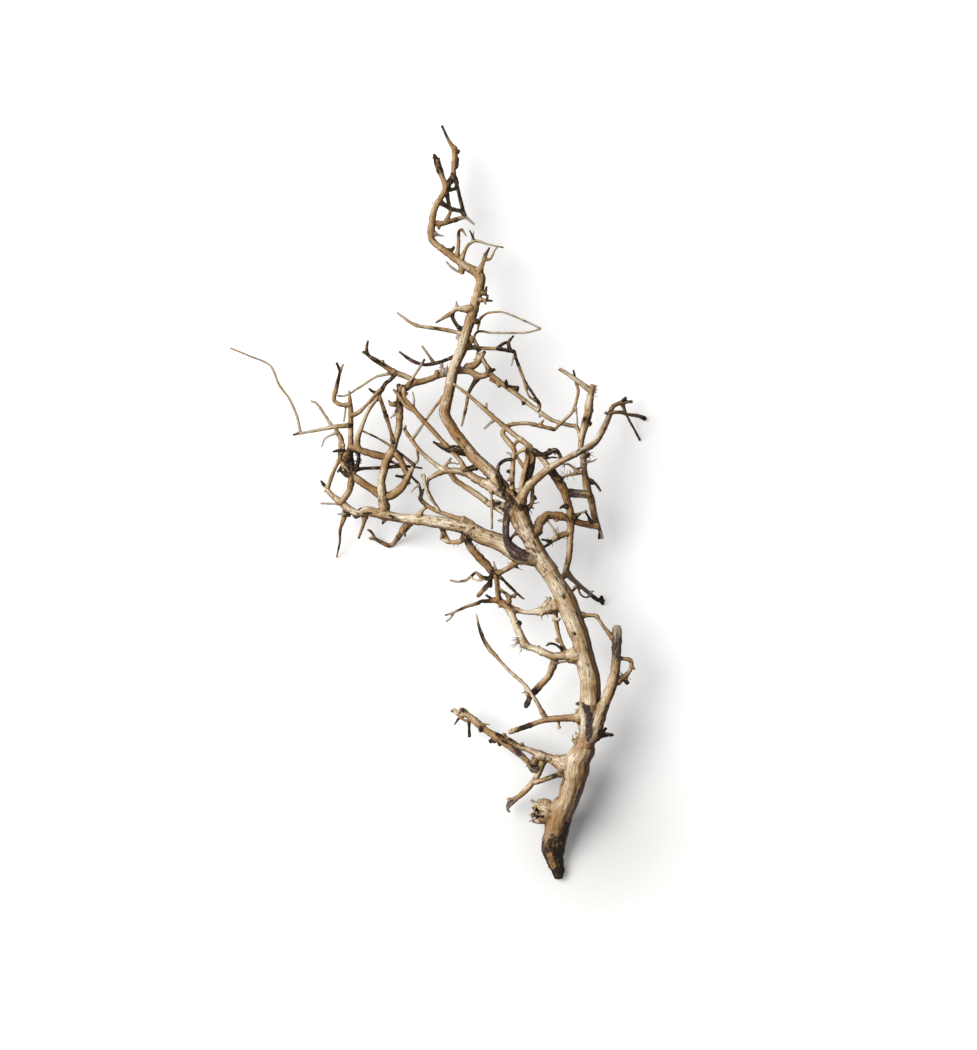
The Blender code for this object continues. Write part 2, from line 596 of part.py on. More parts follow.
# The head of the leader, with its cage of struts and its spur twigs.
leader_top_run = Limb(
    (55.5, 53.5, 52, 50, 49, 47, 44),
    (460.7, 263.3, 3.6), (452.7, 257.5, 3.6), (437.5, 245.9, 3), (431.7, 240, 3.3),
    (431.3, 233.4, 3.6), (432.2, 222.5, 3.4), (434.5, 210.9, 3), (438.5, 202.9, 2.9), (445.6, 188.6, 2.7),
    (443, 179.6, 2.6), (438.5, 167.1, 3.4), (436.5, 161, 3.2),
    follow=leader_mid_run,
)
leader_top = piece(
    "leader_top", TAN, branch,
    leader_top_run,
    Limb((44, 44), (436.7, 163, 2), (434, 154.6, 1)),
    Limb(
        (45, 46, 46, 47),
        (441.9, 126.3, 1.2), (447, 137.7, 1.4), (451.4, 145.7, 2), (454.8, 150, 2.9), (454.4, 158, 2.8),
        (453.6, 170, 2.4), (452.8, 177.9, 3), (446, 187.5, 3.4),
    ),
    Limb((46, 46), (454.8, 151, 2), (459.7, 153.2, 1.2)),
    Limb((47, 48, 47), (452.8, 175, 2.2), (455, 178.8, 1.9), (462.1, 207.3, 2), (464.4, 217.5, 2.3)),
    Limb((48, 49, 49), (445.5, 188.5, 2), (450.1, 210, 1.7), (450, 214, 1.8), (445, 224, 2)),
    Limb((49, 49, 48), (439, 202, 2.2), (450.1, 209.1, 2), (463, 212.7, 2), (464.6, 216.3, 2)),
    Limb(
        (50, 49, 48, 47),
        (433, 223.4, 2.7), (442.5, 224.3, 2.4), (464.8, 218, 2), (470.2, 221.6, 1.2), (474.6, 225.2, 0.9),
    ),
    Limb(
        (55, 54, 53),
        (456.5, 260, 2.2), (458.5, 246.8, 1.8), (458.9, 232.5, 1.6), (461.6, 230.3, 1.4), (466.5, 237, 0.9),
    ),
    Limb(
        (56, 56, 57, 58),
        (461, 262, 2), (464.3, 253, 1.8), (468.5, 245.5, 1.7), (475.9, 241.6, 1.5), (489.3, 245.4, 1.1),
        (503.6, 248.4, 0.8),
    ),
    Limb((56.5, 56), (474.5, 242, 1.4), (469.6, 230.7, 0.8)),
    Limb((52, 52), (446, 252, 2.2), (451, 251.5, 2), (454.6, 247, 1.2)),
    Limb((57, 57), (461.5, 265, 2.6), (462.3, 275, 2.1)),
)

# The arch below the head, from the thin arm at its left to the tuft at its right.
arch_run = Limb(
    (70, 66, 64, 62, 63, 65, 66, 66.5),
    (405, 389.5, 3), (412.1, 384.5, 3.2), (426.4, 380.9, 3), (440.7, 375.5, 3), (455, 371.5, 3.2),
    (469.5, 372.1, 3.2), (478.4, 376.6, 3.4), (484.6, 376.2, 3), (489.1, 374.5, 2.8),
    (493.6, 377.5, 2.6),
)
arch = piece(
    "arch", TAN, branch,
    arch_run,
    Limb(
        (67, 69, 71, 73, 74),
        (416, 382, 2.6), (410.4, 379.1, 2.6), (404.1, 376.4, 2.8), (392.5, 371.5, 2.8), (387.1, 367.9, 2.6),
        (374.6, 359.9, 2.2), (368.8, 355.9, 1.8), (367.1, 350, 1.6), (368.4, 341.2, 1.2),
    ),
    Limb(
        (70, 68, 66, 64, 62),
        (394, 373, 1.6), (383.6, 375.5, 1.4), (376.4, 377.3, 1.3), (359.5, 388, 1.2), (350.5, 393.8, 1),
        (344.3, 396.5, 1), (337.5, 396, 0.8),
    ),
    Limb(
        (67, 66, 65, 64),
        (485.5, 376, 2.9), (489, 371.5, 2.4), (486.6, 366, 2.1), (481, 358, 2.6), (475.5, 356.3, 4.4),
    ),
    Limb((64, 64), (480, 357.5, 2.2), (485.5, 351.6, 1.4)),
    Limb((63, 64, 65), (466.8, 367.7, 3.4), (473.9, 365.9, 3.6), (478.4, 361.4, 3.6), (480, 357, 3)),
    Limb((62, 63), (465, 371.5, 2.8), (466.8, 366, 3)),
    Limb(
        (64, 67, 70, 73, 76),
        (478.6, 377.5, 2.4), (473.9, 383.8, 2), (468.5, 394, 1.8), (465.9, 408.8, 1.6), (461.6, 427, 1.2),
    ),
    Limb((62, 64, 66), (399.2, 352.1, 1.1), (413, 361.7, 1.8), (426.4, 365.3, 1.8), (443, 362, 1.7)),
    Limb((65.5, 67, 67), (442, 362, 1.7), (450, 359, 1.6), (452.5, 357.8, 1.4)),
    Limb((66, 68), (434, 363.5, 1.6), (422, 346.1, 1.1)),
    Limb((64, 62), (438, 363.5, 1.8), (441, 370, 1.8), (443, 375, 2)),
    Limb((70, 72.5, 73), (406.5, 388, 1.6), (411.5, 380.5, 1.5), (420.2, 367.5, 1.4), (425.1, 359.5, 1.2)),
)

# The long thin arm to the right.
right_arm = piece(
    "right_arm", TAN, branch,
    Limb(
        (68, 70, 70, 70, 69, 68),
        (507.9, 388.2, 2.6), (515, 393.6, 2.4), (531.1, 406.1, 2.2), (544.5, 415.9, 2.2),
        (552.5, 420.8, 2.1), (569.5, 425.7, 2), (574.5, 426.2, 2),
        follow=arch_run,
    ),
    Limb((67.5, 67), (498, 381.5, 2), (499.2, 388, 1.4)),
    Limb((68.5, 68), (507, 387.5, 2.4), (518.6, 389.3, 2.5)),
)

# The dark arm above it, which comes down to it from the leader.
dark_arm = piece(
    "dark_arm", DARK, branch,
    Limb(
        (78, 78, 77, 76, 75),
        (510, 351.4, 2), (514.1, 352.5, 2), (515.9, 358.8, 1.9), (523.9, 380.2, 1.9), (527.5, 386.4, 2),
        (539, 403, 2.1),
    ),
    Limb((78, 78), (511, 351.5, 1.7), (508, 344, 1.5), (513.8, 336.1, 1.1)),
    Limb((76, 75.5), (523.5, 381, 1.6), (530.2, 396.3, 1.2), (537.5, 402.2, 1.4)),
)

# The tangle of uprights between the crown and the slanting twigs above it.
uprights = piece(
    "uprights", TAN, branch,
    Limb(
        (86.3, 87, 88, 88, 88.5),
        (521.3, 486, 2.5), (522.5, 482, 2.6), (523.5, 476, 2.6), (525, 470, 2.6), (527.5, 458, 2.8),
        (527.5, 450, 2.8),
        follow=upright_base,
    ),
    Limb((82, 85, 88), (526.5, 483, 2.6), (530.5, 470, 3.3), (532.5, 456, 3.5), (530, 448, 3)),
    Limb(
        (88, 87.5, 87.5, 88),
        (512.2, 485, 2.3), (512.4, 472, 2.4), (513.3, 460, 2.2), (514.2, 449, 2.4),
    ),
    Limb(
        (93.5, 92, 90, 88),
        (503.6, 488, 2.2), (498, 475, 2.4), (498.5, 466, 1.9), (505, 460.5, 1.7), (513, 459.5, 1.8),
    ),
    Limb((87, 88, 88), (513.5, 457, 1.6), (518.5, 452.5, 1.6), (528, 448.5, 2)),
    Limb(
        (88.5, 90, 92, 92),
        (527, 446, 2.2), (535, 452.5, 3.4), (542, 455.5, 2.8), (549, 453, 2.4), (555, 450.6, 2.4),
        (559.3, 455.3, 1.6),
    ),
    Limb((92, 92), (549.5, 454, 1.8), (549, 448.8, 1.3)),
    Limb((89, 91, 93), (537, 454, 2.6), (543.5, 461, 2.2), (546, 464, 2)),
    Limb(
        (77.5, 79, 81, 83, 85, 88),
        (455.2, 385.5, 1), (467.7, 394.9, 1.8), (486.4, 411.4, 2.2), (506.1, 428.4, 2.5), (516, 436.5, 2.3),
        (530, 447, 2.8),
    ),
    Limb((79.5, 79.5), (485.5, 411, 1.5), (486.8, 403, 1)),
    Limb((81, 81), (494.5, 419.8, 1.5), (483.8, 429.3, 1)),
    Limb(
        (83, 82, 81, 80),
        (505, 428, 2.6), (512, 424.8, 2), (527.5, 423.9, 2), (549.8, 428.8, 2), (554.3, 430, 2),
    ),
    Limb((81.5, 81), (538.5, 426.5, 1.4), (543.8, 420.2, 1)),
    Limb((84, 86, 88), (505, 428, 2.4), (502.5, 434, 2.4), (509.5, 443.5, 2.8), (514, 449, 2.8)),
)

# The dark twig that hangs behind the tip of the post at the right.
hook_twig = piece(
    "hook_twig", DARK, branch,
    Limb(
        (72.5, 73, 75, 77, 79, 79.5),
        (573, 370.4, 1.1), (576.2, 384.6, 1.6), (578, 391.8, 1.6), (573, 410.5, 1.7), (563.2, 421.3, 1.8),
        (556.9, 427.2, 1.7),
    ),
)

# The main limb to the right, over the post, and down to the ground at its far end.
right_limb = piece(
    "right_limb", TAN, branch,
    Limb(
        (92, 94, 93, 92, 87, 78, 67, 55, 43, 34, 31),
        (531, 484, 4.2), (537, 478.5, 4), (551, 467.5, 3.5), (565, 459.5, 3.2), (578, 453, 3),
        (589, 447, 3.4), (595, 442.5, 3.4), (602, 431, 3.2), (607.5, 420, 2.8), (611.5, 409, 2.4),
        (614.5, 405.5, 2.2), (622.5, 402.5, 2.2), (632.5, 401.8, 1.4),
        follow=right_base,
    ),
    Limb(
        (34, 27, 17, 9, 1.0),
        (622, 402.5, 1.8), (624.5, 411, 1.4), (630, 422, 1.3), (634, 429, 1.2), (640, 440.5, 1.2),
    ),
    Limb(
        (50, 47, 40, 27, 13, 2.5),
        (604, 413, 1.4), (610, 413.4, 2), (615, 412.5, 1.8), (621, 412.5, 2), (626, 414.3, 1.7),
        (638, 416, 1.8),
        (645, 418.5, 2.3),
    ),
    Limb((34, 34), (621.5, 402.4, 1.7), (626.2, 397.4, 1.2)),
)

# The post at the right, below the main limb.
right_post = piece(
    "right_post", TAN, branch,
    Limb(
        (77, 76, 76, 75, 73.5, 71, 68, 64, 58, 50, 40, 36),
        (592.5, 385, 2.6), (591, 393, 3.2), (588.5, 406, 4), (588, 412, 3.8), (585, 424, 4), (581, 440, 3),
        (580.5, 448, 2.6), (582.5, 456, 3.1), (583.6, 468, 3), (587.2, 490, 3.8), (591, 500, 3.7),
        (592.8, 510, 3.5),
        (597, 525, 3), (600.5, 532, 1.4), (600.5, 539, 1.2),
    ),
    Limb((81, 79, 77), (558.5, 369.2, 1.7), (568, 375, 2), (580, 383.5, 2.5), (590.5, 391.5, 3)),
    Limb((70, 69), (583, 457, 3), (588.5, 454.5, 2.4)),
    Limb((64, 61), (586, 480, 2.6), (595, 484, 1.4), (600.5, 491.5, 1.3)),
)

# The second limb to the right, from under the main one, down to the ground at its black stub.
second_base = Limb((82, 76, 71), (552, 474, 4), (556, 479, 4.4), (560, 484, 4.5), (566, 496, 4.2))
second_limb = piece(
    "second_limb", TAN, branch,
    Limb(
        (80, 75, 70, 65, 62, 58, 55),
        (554, 476, 4.2), (560, 484, 4.5), (563.5, 490, 4.3), (566.5, 500, 4), (569.7, 510, 3.7),
        (570.5, 520, 3.8), (569.8, 540, 3.2), (569, 555, 3.2), (567.5, 563, 3),
    ),
    Limb(
        (55, 49, 40, 28, 13, 3),
        (567.5, 562, 3), (566, 570, 3.2), (568.5, 575, 3.2), (574.5, 580.8, 2.7), (583.5, 588.5, 2.3),
        (589, 593, 2.2),
        (597, 599.5, 2.1), (603, 600.8, 2.4),
    ),
    Limb((5, 6), (601.5, 600, 1.6), (601.6, 595.5, 1)),
    Limb((38, 30), (571, 592, 1.4), (578, 587.5, 1.7), (589, 594, 1.4)),
    Limb((70, 69, 67), (564.5, 492, 4), (567, 492.8, 4.4), (575, 493.5, 4.3), (579.5, 493.8, 4.1)),
    Limb(
        (78.5, 74, 69, 66, 64, 60, 57),
        (538.5, 524, 4.4), (543, 518.5, 4.4), (547, 515.5, 4.2), (559, 516, 4.1), (570, 519, 3.7),
        (580, 523, 3.4), (590.2, 525, 3),
        follow=cross_base,
    ),
    Limb((66, 63, 60), (566, 518, 2), (575, 515, 1.6), (587, 510.5, 1.1)),
    Limb((62, 66, 70), (569.5, 533, 3), (562, 535, 2.9), (557, 537, 3.4), (550, 542.5, 1.8)),
    Limb((70, 75), (551, 542, 1.7), (545.4, 545.8, 1.1)),
)

bpy.context.view_layer.update()
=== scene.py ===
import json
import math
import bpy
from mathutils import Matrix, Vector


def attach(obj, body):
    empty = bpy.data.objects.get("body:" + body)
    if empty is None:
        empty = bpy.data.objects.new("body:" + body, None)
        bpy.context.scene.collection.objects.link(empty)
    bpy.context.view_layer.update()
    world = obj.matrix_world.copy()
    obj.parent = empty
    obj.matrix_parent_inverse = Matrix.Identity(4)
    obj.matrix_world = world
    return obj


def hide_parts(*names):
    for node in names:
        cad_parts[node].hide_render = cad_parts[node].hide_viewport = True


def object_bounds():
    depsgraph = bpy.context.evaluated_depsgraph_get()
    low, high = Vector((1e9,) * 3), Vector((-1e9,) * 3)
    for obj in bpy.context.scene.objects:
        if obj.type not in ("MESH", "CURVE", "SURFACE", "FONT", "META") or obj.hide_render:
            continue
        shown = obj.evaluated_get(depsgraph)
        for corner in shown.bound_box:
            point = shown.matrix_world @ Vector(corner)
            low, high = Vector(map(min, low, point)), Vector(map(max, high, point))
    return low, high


bl_info = {
    "name": "Weathered Branch",
    "version": (1, 0, 0),
    "blender": (4, 5, 0),
    "location": "View3D > Sidebar > Branch",
    "description": "Grows a bare, weathered tree branch over its frame, with its wood, light and floor",
    "category": "Add Mesh",
}

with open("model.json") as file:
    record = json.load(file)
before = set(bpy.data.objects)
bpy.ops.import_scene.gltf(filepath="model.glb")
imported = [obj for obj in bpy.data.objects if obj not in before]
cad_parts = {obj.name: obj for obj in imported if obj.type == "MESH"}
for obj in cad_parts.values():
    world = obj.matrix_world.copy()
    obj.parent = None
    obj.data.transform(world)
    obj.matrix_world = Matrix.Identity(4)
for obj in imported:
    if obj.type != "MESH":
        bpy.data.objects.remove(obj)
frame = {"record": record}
CAD_BOX = [list(corner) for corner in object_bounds()]

import bmesh
import bpy
import numpy as np
from mathutils import Vector, noise

# The branch is drawn in plan, in millimetres, x to the right and y towards the butt, with the
# model's origin at this place. Limbs are rows of (x, y, radius) from foot to tip, and their
# heights are spread evenly along them.
X_MID = 438.0
Y_MID = 502.5
MM = 0.001

# A piece with wood over this radius, in millimetres, is thick: it is skinned with larger cells.
THICK_WOOD = 6.5
# A loose bit of skin with fewer points than this is a crumb.
CRUMB_POINTS = 60
# Each limb reads its knots and its grain this far from the last one's, so no two are alike.
KNOT_SHIFT = 17.3
GRAIN_SHIFT = 31.7
# The grain turns by a radian over this many ridges' widths, and a ridge runs on for this many.
GRAIN_TWIST = 16.0
GRAIN_RUN = 8.0
# The way that the painted light comes from: sides of the wood that face it get a paler painted
# highlight, and sides turned away get a browner painted shade.
PAINTED_LIGHT_WAY = (-0.5, 0.33, 0.8)
# The length of one step where a limb is run on into another, in millimetres.
JOINT_STEP = 0.8
# A limb that follows another starts this many millimetres inside it.
FOLLOW_OVERLAP = 4.0
# Places are matched with the wood in runs of this many, which keeps the memory small.
PLACES_AT_ONCE = 2000

# How much of each finish a limb shows: bark, warm heartwood, pale bleached wood, grey weathering.
TONES = {
    "pale": (0.0, 0.05, 0.95, 0.0),
    "tan": (0.0, 0.25, 0.55, 0.0),
    "warm": (0.0, 0.8, 0.2, 0.0),
    "brown": (0.42, 0.35, 0.05, 0.0),
    "dark": (0.95, 0.1, 0.0, 0.0),
    "purple": (0.95, 0.0, 0.0, 0.8),
    "grey": (0.1, 0.0, 0.45, 0.8),
    "ash": (0.0, 0.0, 0.7, 0.9),
}


def between(values, share):
    """A value read at a share of the way along evenly spread ones."""
    place = min(max(share, 0.0), 1.0) * (len(values) - 1)
    low = min(int(place), len(values) - 2)
    return values[low] + (values[low + 1] - values[low]) * (place - low)


class Limb:
    """One limb: a smooth line of samples in millimetres, with radius, grain frame and tone."""

    count = 0

    def __init__(self, heights, *rows, follow=None, tone=None, knots=1.0):
        Limb.count += 1
        self.number = Limb.count
        self.tone = tone
        plan = [Vector((x - X_MID, Y_MID - y, 0.0)) for x, y, _ in rows]
        radii = [float(radius) for _, _, radius in rows]
        heights = list(heights)
        if follow:
            plan.insert(0, Vector((follow.points[-1].x, follow.points[-1].y, 0.0)))
            radii.insert(0, follow.radii[-1])
            heights.insert(0, follow.points[-1].z)
        run = [0.0]
        for a, b in zip(plan, plan[1:]):
            run.append(run[-1] + (b - a).length)
        self.points = [
            Vector((spot.x, spot.y, between(heights, at / run[-1]))) for at, spot in zip(run, plan)
        ]
        self.radii = radii
        line, girth = list(self.points), list(radii)
        if follow:
            line.insert(0, follow.points[-2])
            girth.insert(0, follow.radii[-2])
            follow.carry = self.points[1]
        self.line, self.girth, self.carry = line, girth, None
        self.follows = follow is not None
        self.knots = knots

    def sample(self):
        """Fills in the samples, once every limb is drawn."""
        line = [2 * self.line[0] - self.line[1]] + self.line
        line.append(self.carry or 2 * self.line[-1] - self.line[-2])
        girth = [self.girth[0]] + self.girth + [self.girth[-1]]
        spots, radii = [], []
        for i in range(1, len(line) - 2):
            a, b, c, d = line[i - 1 : i + 3]
            span = (c - b).length
            pace = min(max(0.4 * girth[i], 0.8), 2.0)
            steps = max(2, int(math.ceil(span / pace)))
            before = (c - a) * 0.5 * min(1.0, 1.6 * span / max((c - a).length, 1e-6))
            after = (d - b) * 0.5 * min(1.0, 1.6 * span / max((d - b).length, 1e-6))
            for k in range(steps):
                t = k / steps
                spot = (
                    b * (2 * t**3 - 3 * t**2 + 1)
                    + before * (t**3 - 2 * t**2 + t)
                    + c * (3 * t**2 - 2 * t**3)
                    + after * (t**3 - t**2)
                )
                spots.append(spot)
                radii.append(girth[i] + (girth[i + 1] - girth[i]) * (3 * t**2 - 2 * t**3))
        spots.append(line[-2])
        radii.append(girth[-2])
        if self.follows:
            first = (self.line[1] - self.line[0]).length
            near = first - FOLLOW_OVERLAP
            gone = [(spot - self.line[0]).length > near for spot in spots]
            keep = gone.index(True) if any(gone) else 0
            spots, radii = spots[keep:], radii[keep:]
        self.settle(np.array(spots))
        radii = np.array(radii)
        mark = self.number * KNOT_SHIFT
        for k, at in enumerate(self.arc):
            r = radii[k]
            swell = noise.noise(Vector((at / (4.0 * r + 2.0), mark, 0.0)))
            knot = max(0.0, noise.noise(Vector((at / 5.0, mark, 7.7))) - 0.28)
            radii[k] = r * (1.0 + 0.1 * swell) + self.knots * 1.1 * knot * min(1.0, 0.45 * r)
        self.radius = radii

    def each(self, value):
        """A value for every sample."""
        return np.full(len(self.spots), value)

    def settle(self, spots):
        """Works out the way along and a steady side direction for each sample."""
        self.spots = spots
        steps = np.diff(self.spots, axis=0)
        lengths = np.maximum(np.linalg.norm(steps, axis=1), 1e-6)
        self.arc = np.concatenate([[0.0], np.cumsum(lengths)])
        ways = steps / lengths[:, None]
        ways = np.vstack([ways[:1], ways[:-1] + ways[1:], ways[-1:]])
        self.ways = ways / np.linalg.norm(ways, axis=1)[:, None]
        side = np.array([0.0, 0.0, 1.0])
        sides = []
        for way in self.ways:
            side = side - way * side.dot(way)
            if np.linalg.norm(side) < 0.1:
                side = np.cross(way, [1.0, 0.0, 0.0])
            side = side / np.linalg.norm(side)
            sides.append(side)
        self.sides = np.array(sides)


def grown(name, tone, *limbs):
    """One piece of the branch, from limbs and from rows that each stand for one.

    A row holds heights, then places, then a tone where it differs from the piece's.
    """
    PIECES[name] = []
    for limb in limbs:
        if isinstance(limb, tuple):
            heights, *places = limb
            own = places.pop() if isinstance(places[-1], str) else None
            limb = Limb(heights, *places, tone=own)
        limb.tone = limb.tone or tone
        PIECES[name].append(limb)


PIECES = {}


# The butt and the lower trunk, up to where the prong leaves it.
lower_trunk = Limb((4.1, 10.4, 23, 35, 45, 51.5, 56.5, 61.5), (558.5, 878.5, 3.5),
    (557.8, 870, 6.2), (554.8, 860, 8.2), (553.5, 850, 11.5), (554.3, 840, 12.2),
    (556.5, 830, 12.5), (558.5, 820, 13), (561.5, 810, 12), (567.5, 800, 11), (573.7, 780, 12),
    (575.7, 770, 13), (577.5, 760, 12.3), (583.3, 750, 10.8), (586.2, 740, 9), (587, 728, 7.5),
    (588.5, 710, 9.7), (590, 700, 10.2), tone="dark dark dark warm tan tan tan pale tan pale tan")
prong_base = Limb((56, 65, 70), (583, 752, 4), (588, 742, 5), (594, 732, 6.4), (597.5, 722, 6.1),
    (604.5, 702, 5.5), tone="pale pale tan tan")
low_base = Limb((45, 42), (568, 765, 8), (560, 761.5, 5), (553, 759, 4.2))
whip_base = Limb((57, 55), (584, 718.3, 4), (574, 717.3, 3.8), (567, 717.5, 3.5), tone="tan warm")
grown(
    "trunk_base", "tan",
    lower_trunk, prong_base, low_base, whip_base,
    ((27, 26), (556, 812, 8), (545, 812, 8), (538, 812, 6.5)),
    ((27, 27), (548, 805, 4), (543.5, 801.5, 3), (538.5, 801, 2), "warm tan"),
    ((27, 28), (544, 812, 2.8), (537.5, 806, 1.8), (531, 798.8, 1.2), "tan pale ash"),
    ((26, 25), (549, 812, 5), (541, 812.5, 4.2), (535.5, 813.5, 3), "warm brown brown"),
    ((26, 25), (548, 819, 4), (540, 820.3, 3.2), (534, 820.5, 2.4), "tan pale grey"),
    ((25, 24), (548, 818, 4), (539, 821, 2.6), (532, 820, 1.6)),
    ((51, 50), (586, 742, 2.6), (579, 742.5, 2.4), (571.5, 738.5, 1.2), "warm brown"),
    ((62, 60, 57), (594, 733, 2.6), (601, 734, 2.2), (611, 734.2, 1.9), (613.5, 734.2, 1.2),
     "dark"),
    ((29, 28), (548, 801.5, 3.2), (541, 800.5, 2), "warm"),
    ((51, 51), (577, 708, 2.6), (577.5, 715, 2.4), (581, 725, 2.6)),
    ((58, 58), (581, 703, 2), (575.2, 703.5, 1.1), "dark"),
    ((60, 58), (606, 727, 1.6), (602, 732, 1.2), "dark"),
    ((43, 43), (548, 760, 2), (557, 765, 2.2), (561, 769, 2.2), (565, 776, 2.4), "brown"),
    ((54, 55), (577, 735, 1.4), (574.5, 731, 0.9), "pale"),
)

# The broken prong to the right of the trunk, with the loop at its side.
prong_run = Limb((71, 71, 71.5, 72), (608.5, 692, 5.5), (612, 682, 5.3), (614, 672, 5),
    (615.5, 662, 4.7), (616, 652, 4.8), (616.5, 636, 4.8), (616.5, 628.5, 4.5), (616.3, 625, 2.8),
    follow=prong_base, tone="tan tan tan brown purple purple grey")
grown(
    "prong", "tan",
    prong_run,
    ((70, 67, 63, 65, 70), (615.5, 658, 2), (620, 658, 1.6), (628.5, 659, 2.2), (631, 662, 2.1),
     (630, 669, 2.1), (625, 675.5, 2.6), (621, 678, 3), (615, 682.5, 3),
     "brown tan tan brown brown"),
    ((65, 63), (624, 678, 2.6), (627.5, 683.5, 1.8), "dark"),
    ((65, 65), (630, 665, 1.4), (634.5, 669, 0.9), "brown"),
)

# The lower left limb with its two strands and the twig that hangs back towards the butt.
low_run = Limb((41.5, 40, 37.5, 34, 31, 28), (546, 757, 4.4), (540, 755, 5), (533, 751, 3),
    (519, 746, 2.6), (507, 739, 3), (498, 737, 4.2), (486, 730, 3), (476.5, 722, 3.8),
    (468, 715, 2.8), (458, 714, 1.8), (453.5, 709.5, 1.5), follow=low_base,
    tone="tan tan tan dark warm brown tan pale")
grown(
    "low_limb", "tan",
    low_run,
    ((38.5, 36, 36.5, 38), (541, 763, 3), (534, 769, 3.6), (528.5, 762, 3), (519, 753, 3),
     (507, 744, 3.2), (499, 738, 3), "tan purple brown purple brown warm"),
    ((40.5, 38.5), (537, 754, 4), (534, 764, 4.6), "brown dark"),
    ((41, 35, 29, 24, 18), (543, 756, 3), (542, 763, 3), (537.5, 775, 3), (529, 786.5, 3),
     (519, 796, 2.6), (510, 803, 3.2), (507.5, 809, 1.5), (510, 812, 1),
     "tan tan tan tan brown purple grey"),
    ((34, 38, 42), (536, 782, 2.4), (546, 778.5, 2.6), (556, 775, 2.3), (568, 772, 3),
     "tan dark brown"),
    ((30, 30), (458, 713.5, 1.6), (461.5, 709, 1.8), (468, 713.5, 1.8), "tan dark brown"),
    ((30, 26), (464, 715, 1.6), (459, 718, 1.2), (454.5, 724.5, 0.9), "dark"),
    ((31, 27, 24), (469, 716, 2), (469.2, 728, 1.4), (469.5, 737, 1.7), "brown dark dark"),
    ((35, 33), (499, 737.5, 2.4), (489, 741.5, 1.6), "dark"),
    ((29, 28), (457, 712, 1.8), (453.5, 709, 1.6), (451.5, 712, 1)),
    ((30, 29), (460, 717, 1.4), (466, 720.5, 1.3), (470.5, 718.5, 1.2), "brown"),
    ((32, 33), (480, 726, 1.4), (485, 724, 0.9), (490.5, 724.4, 0.6), "grey"),
    ((37, 39), (503, 737, 2), (505, 733.5, 1.3), "brown"),
    ((36, 34), (500, 741, 2.2), (499.5, 745.5, 1.5), "dark"),
    ((36, 35), (481, 728, 2), (480.5, 732, 1.1), "dark"),
    ((22, 22), (513, 800, 1.8), (509, 799.5, 1.4), "brown"),
    ((41, 42), (521, 745, 1.8), (523, 742.5, 1.2), "brown"),
)

# The middle of the trunk, with the stub of the twig to the left and the thin twig to the prong.
middle_trunk = Limb((65.5, 70, 73, 75.5, 77.5, 79), (590, 680, 9.9), (585.3, 660, 9.6),
    (583, 650, 9.3), (581, 640, 9.3), (577, 630, 9.6), (573.3, 620, 9.7), (565.5, 600, 9.8),
    (560.5, 590, 9.6), (548.5, 570, 9), follow=lower_trunk,
    tone="pale tan pale tan tan pale tan pale tan")
side_base = Limb((69.5, 68), (580, 655, 6), (573, 655, 5.5), (566, 655, 4.5))
grown(
    "trunk_middle", "tan",
    middle_trunk, side_base,
    ((74, 74, 73, 71), (572, 614, 3), (586, 615, 1.8), (592, 615, 2), (596, 615.8, 2.3),
     (599, 620, 1.7), (603, 626, 1.7), (607.5, 631.5, 2), (611.5, 637, 2.2), (614.5, 643, 2.2),
     "tan brown tan warm brown"),
    ((68.5, 67), (577, 662.5, 1.6), (568, 661, 1.2), (561.5, 661.7, 1.2), (555, 663, 1.4),
     "grey purple"),
)

# The slender limb to the left of the trunk, whose thin end sweeps up over the branches beside it.
whip_run = Limb((54.5, 53, 50, 47, 44), (560, 718, 3.2), (547, 719, 3), (540, 721, 2.6),
    (526, 726, 2.6), (513, 730.5, 2.7), (508.5, 731.5, 2.6), follow=whip_base,
    tone="warm warm brown brown dark dark pale")
grown(
    "whip_limb", "tan",
    whip_run,
    ((53, 59, 60, 57, 54, 50, 46, 42, 38), (547, 719, 2.6), (543.5, 714, 2.6), (537.5, 703, 2),
     (530.5, 692, 2), (523, 682.5, 1.8), (512, 673, 1.7), (500, 660.5, 1.7), (495, 654.5, 2.2),
     (490.5, 650, 2.4), (484, 640, 2), (479.5, 628, 1.6), (477, 618, 1.1), (476, 613.5, 0.8),
     "tan tan pale tan tan tan warm brown dark dark pale"),
    ((51.5, 50), (559, 717, 1.6), (558.5, 724.5, 1.3), (559.5, 728, 1.8), "warm tan"),
)

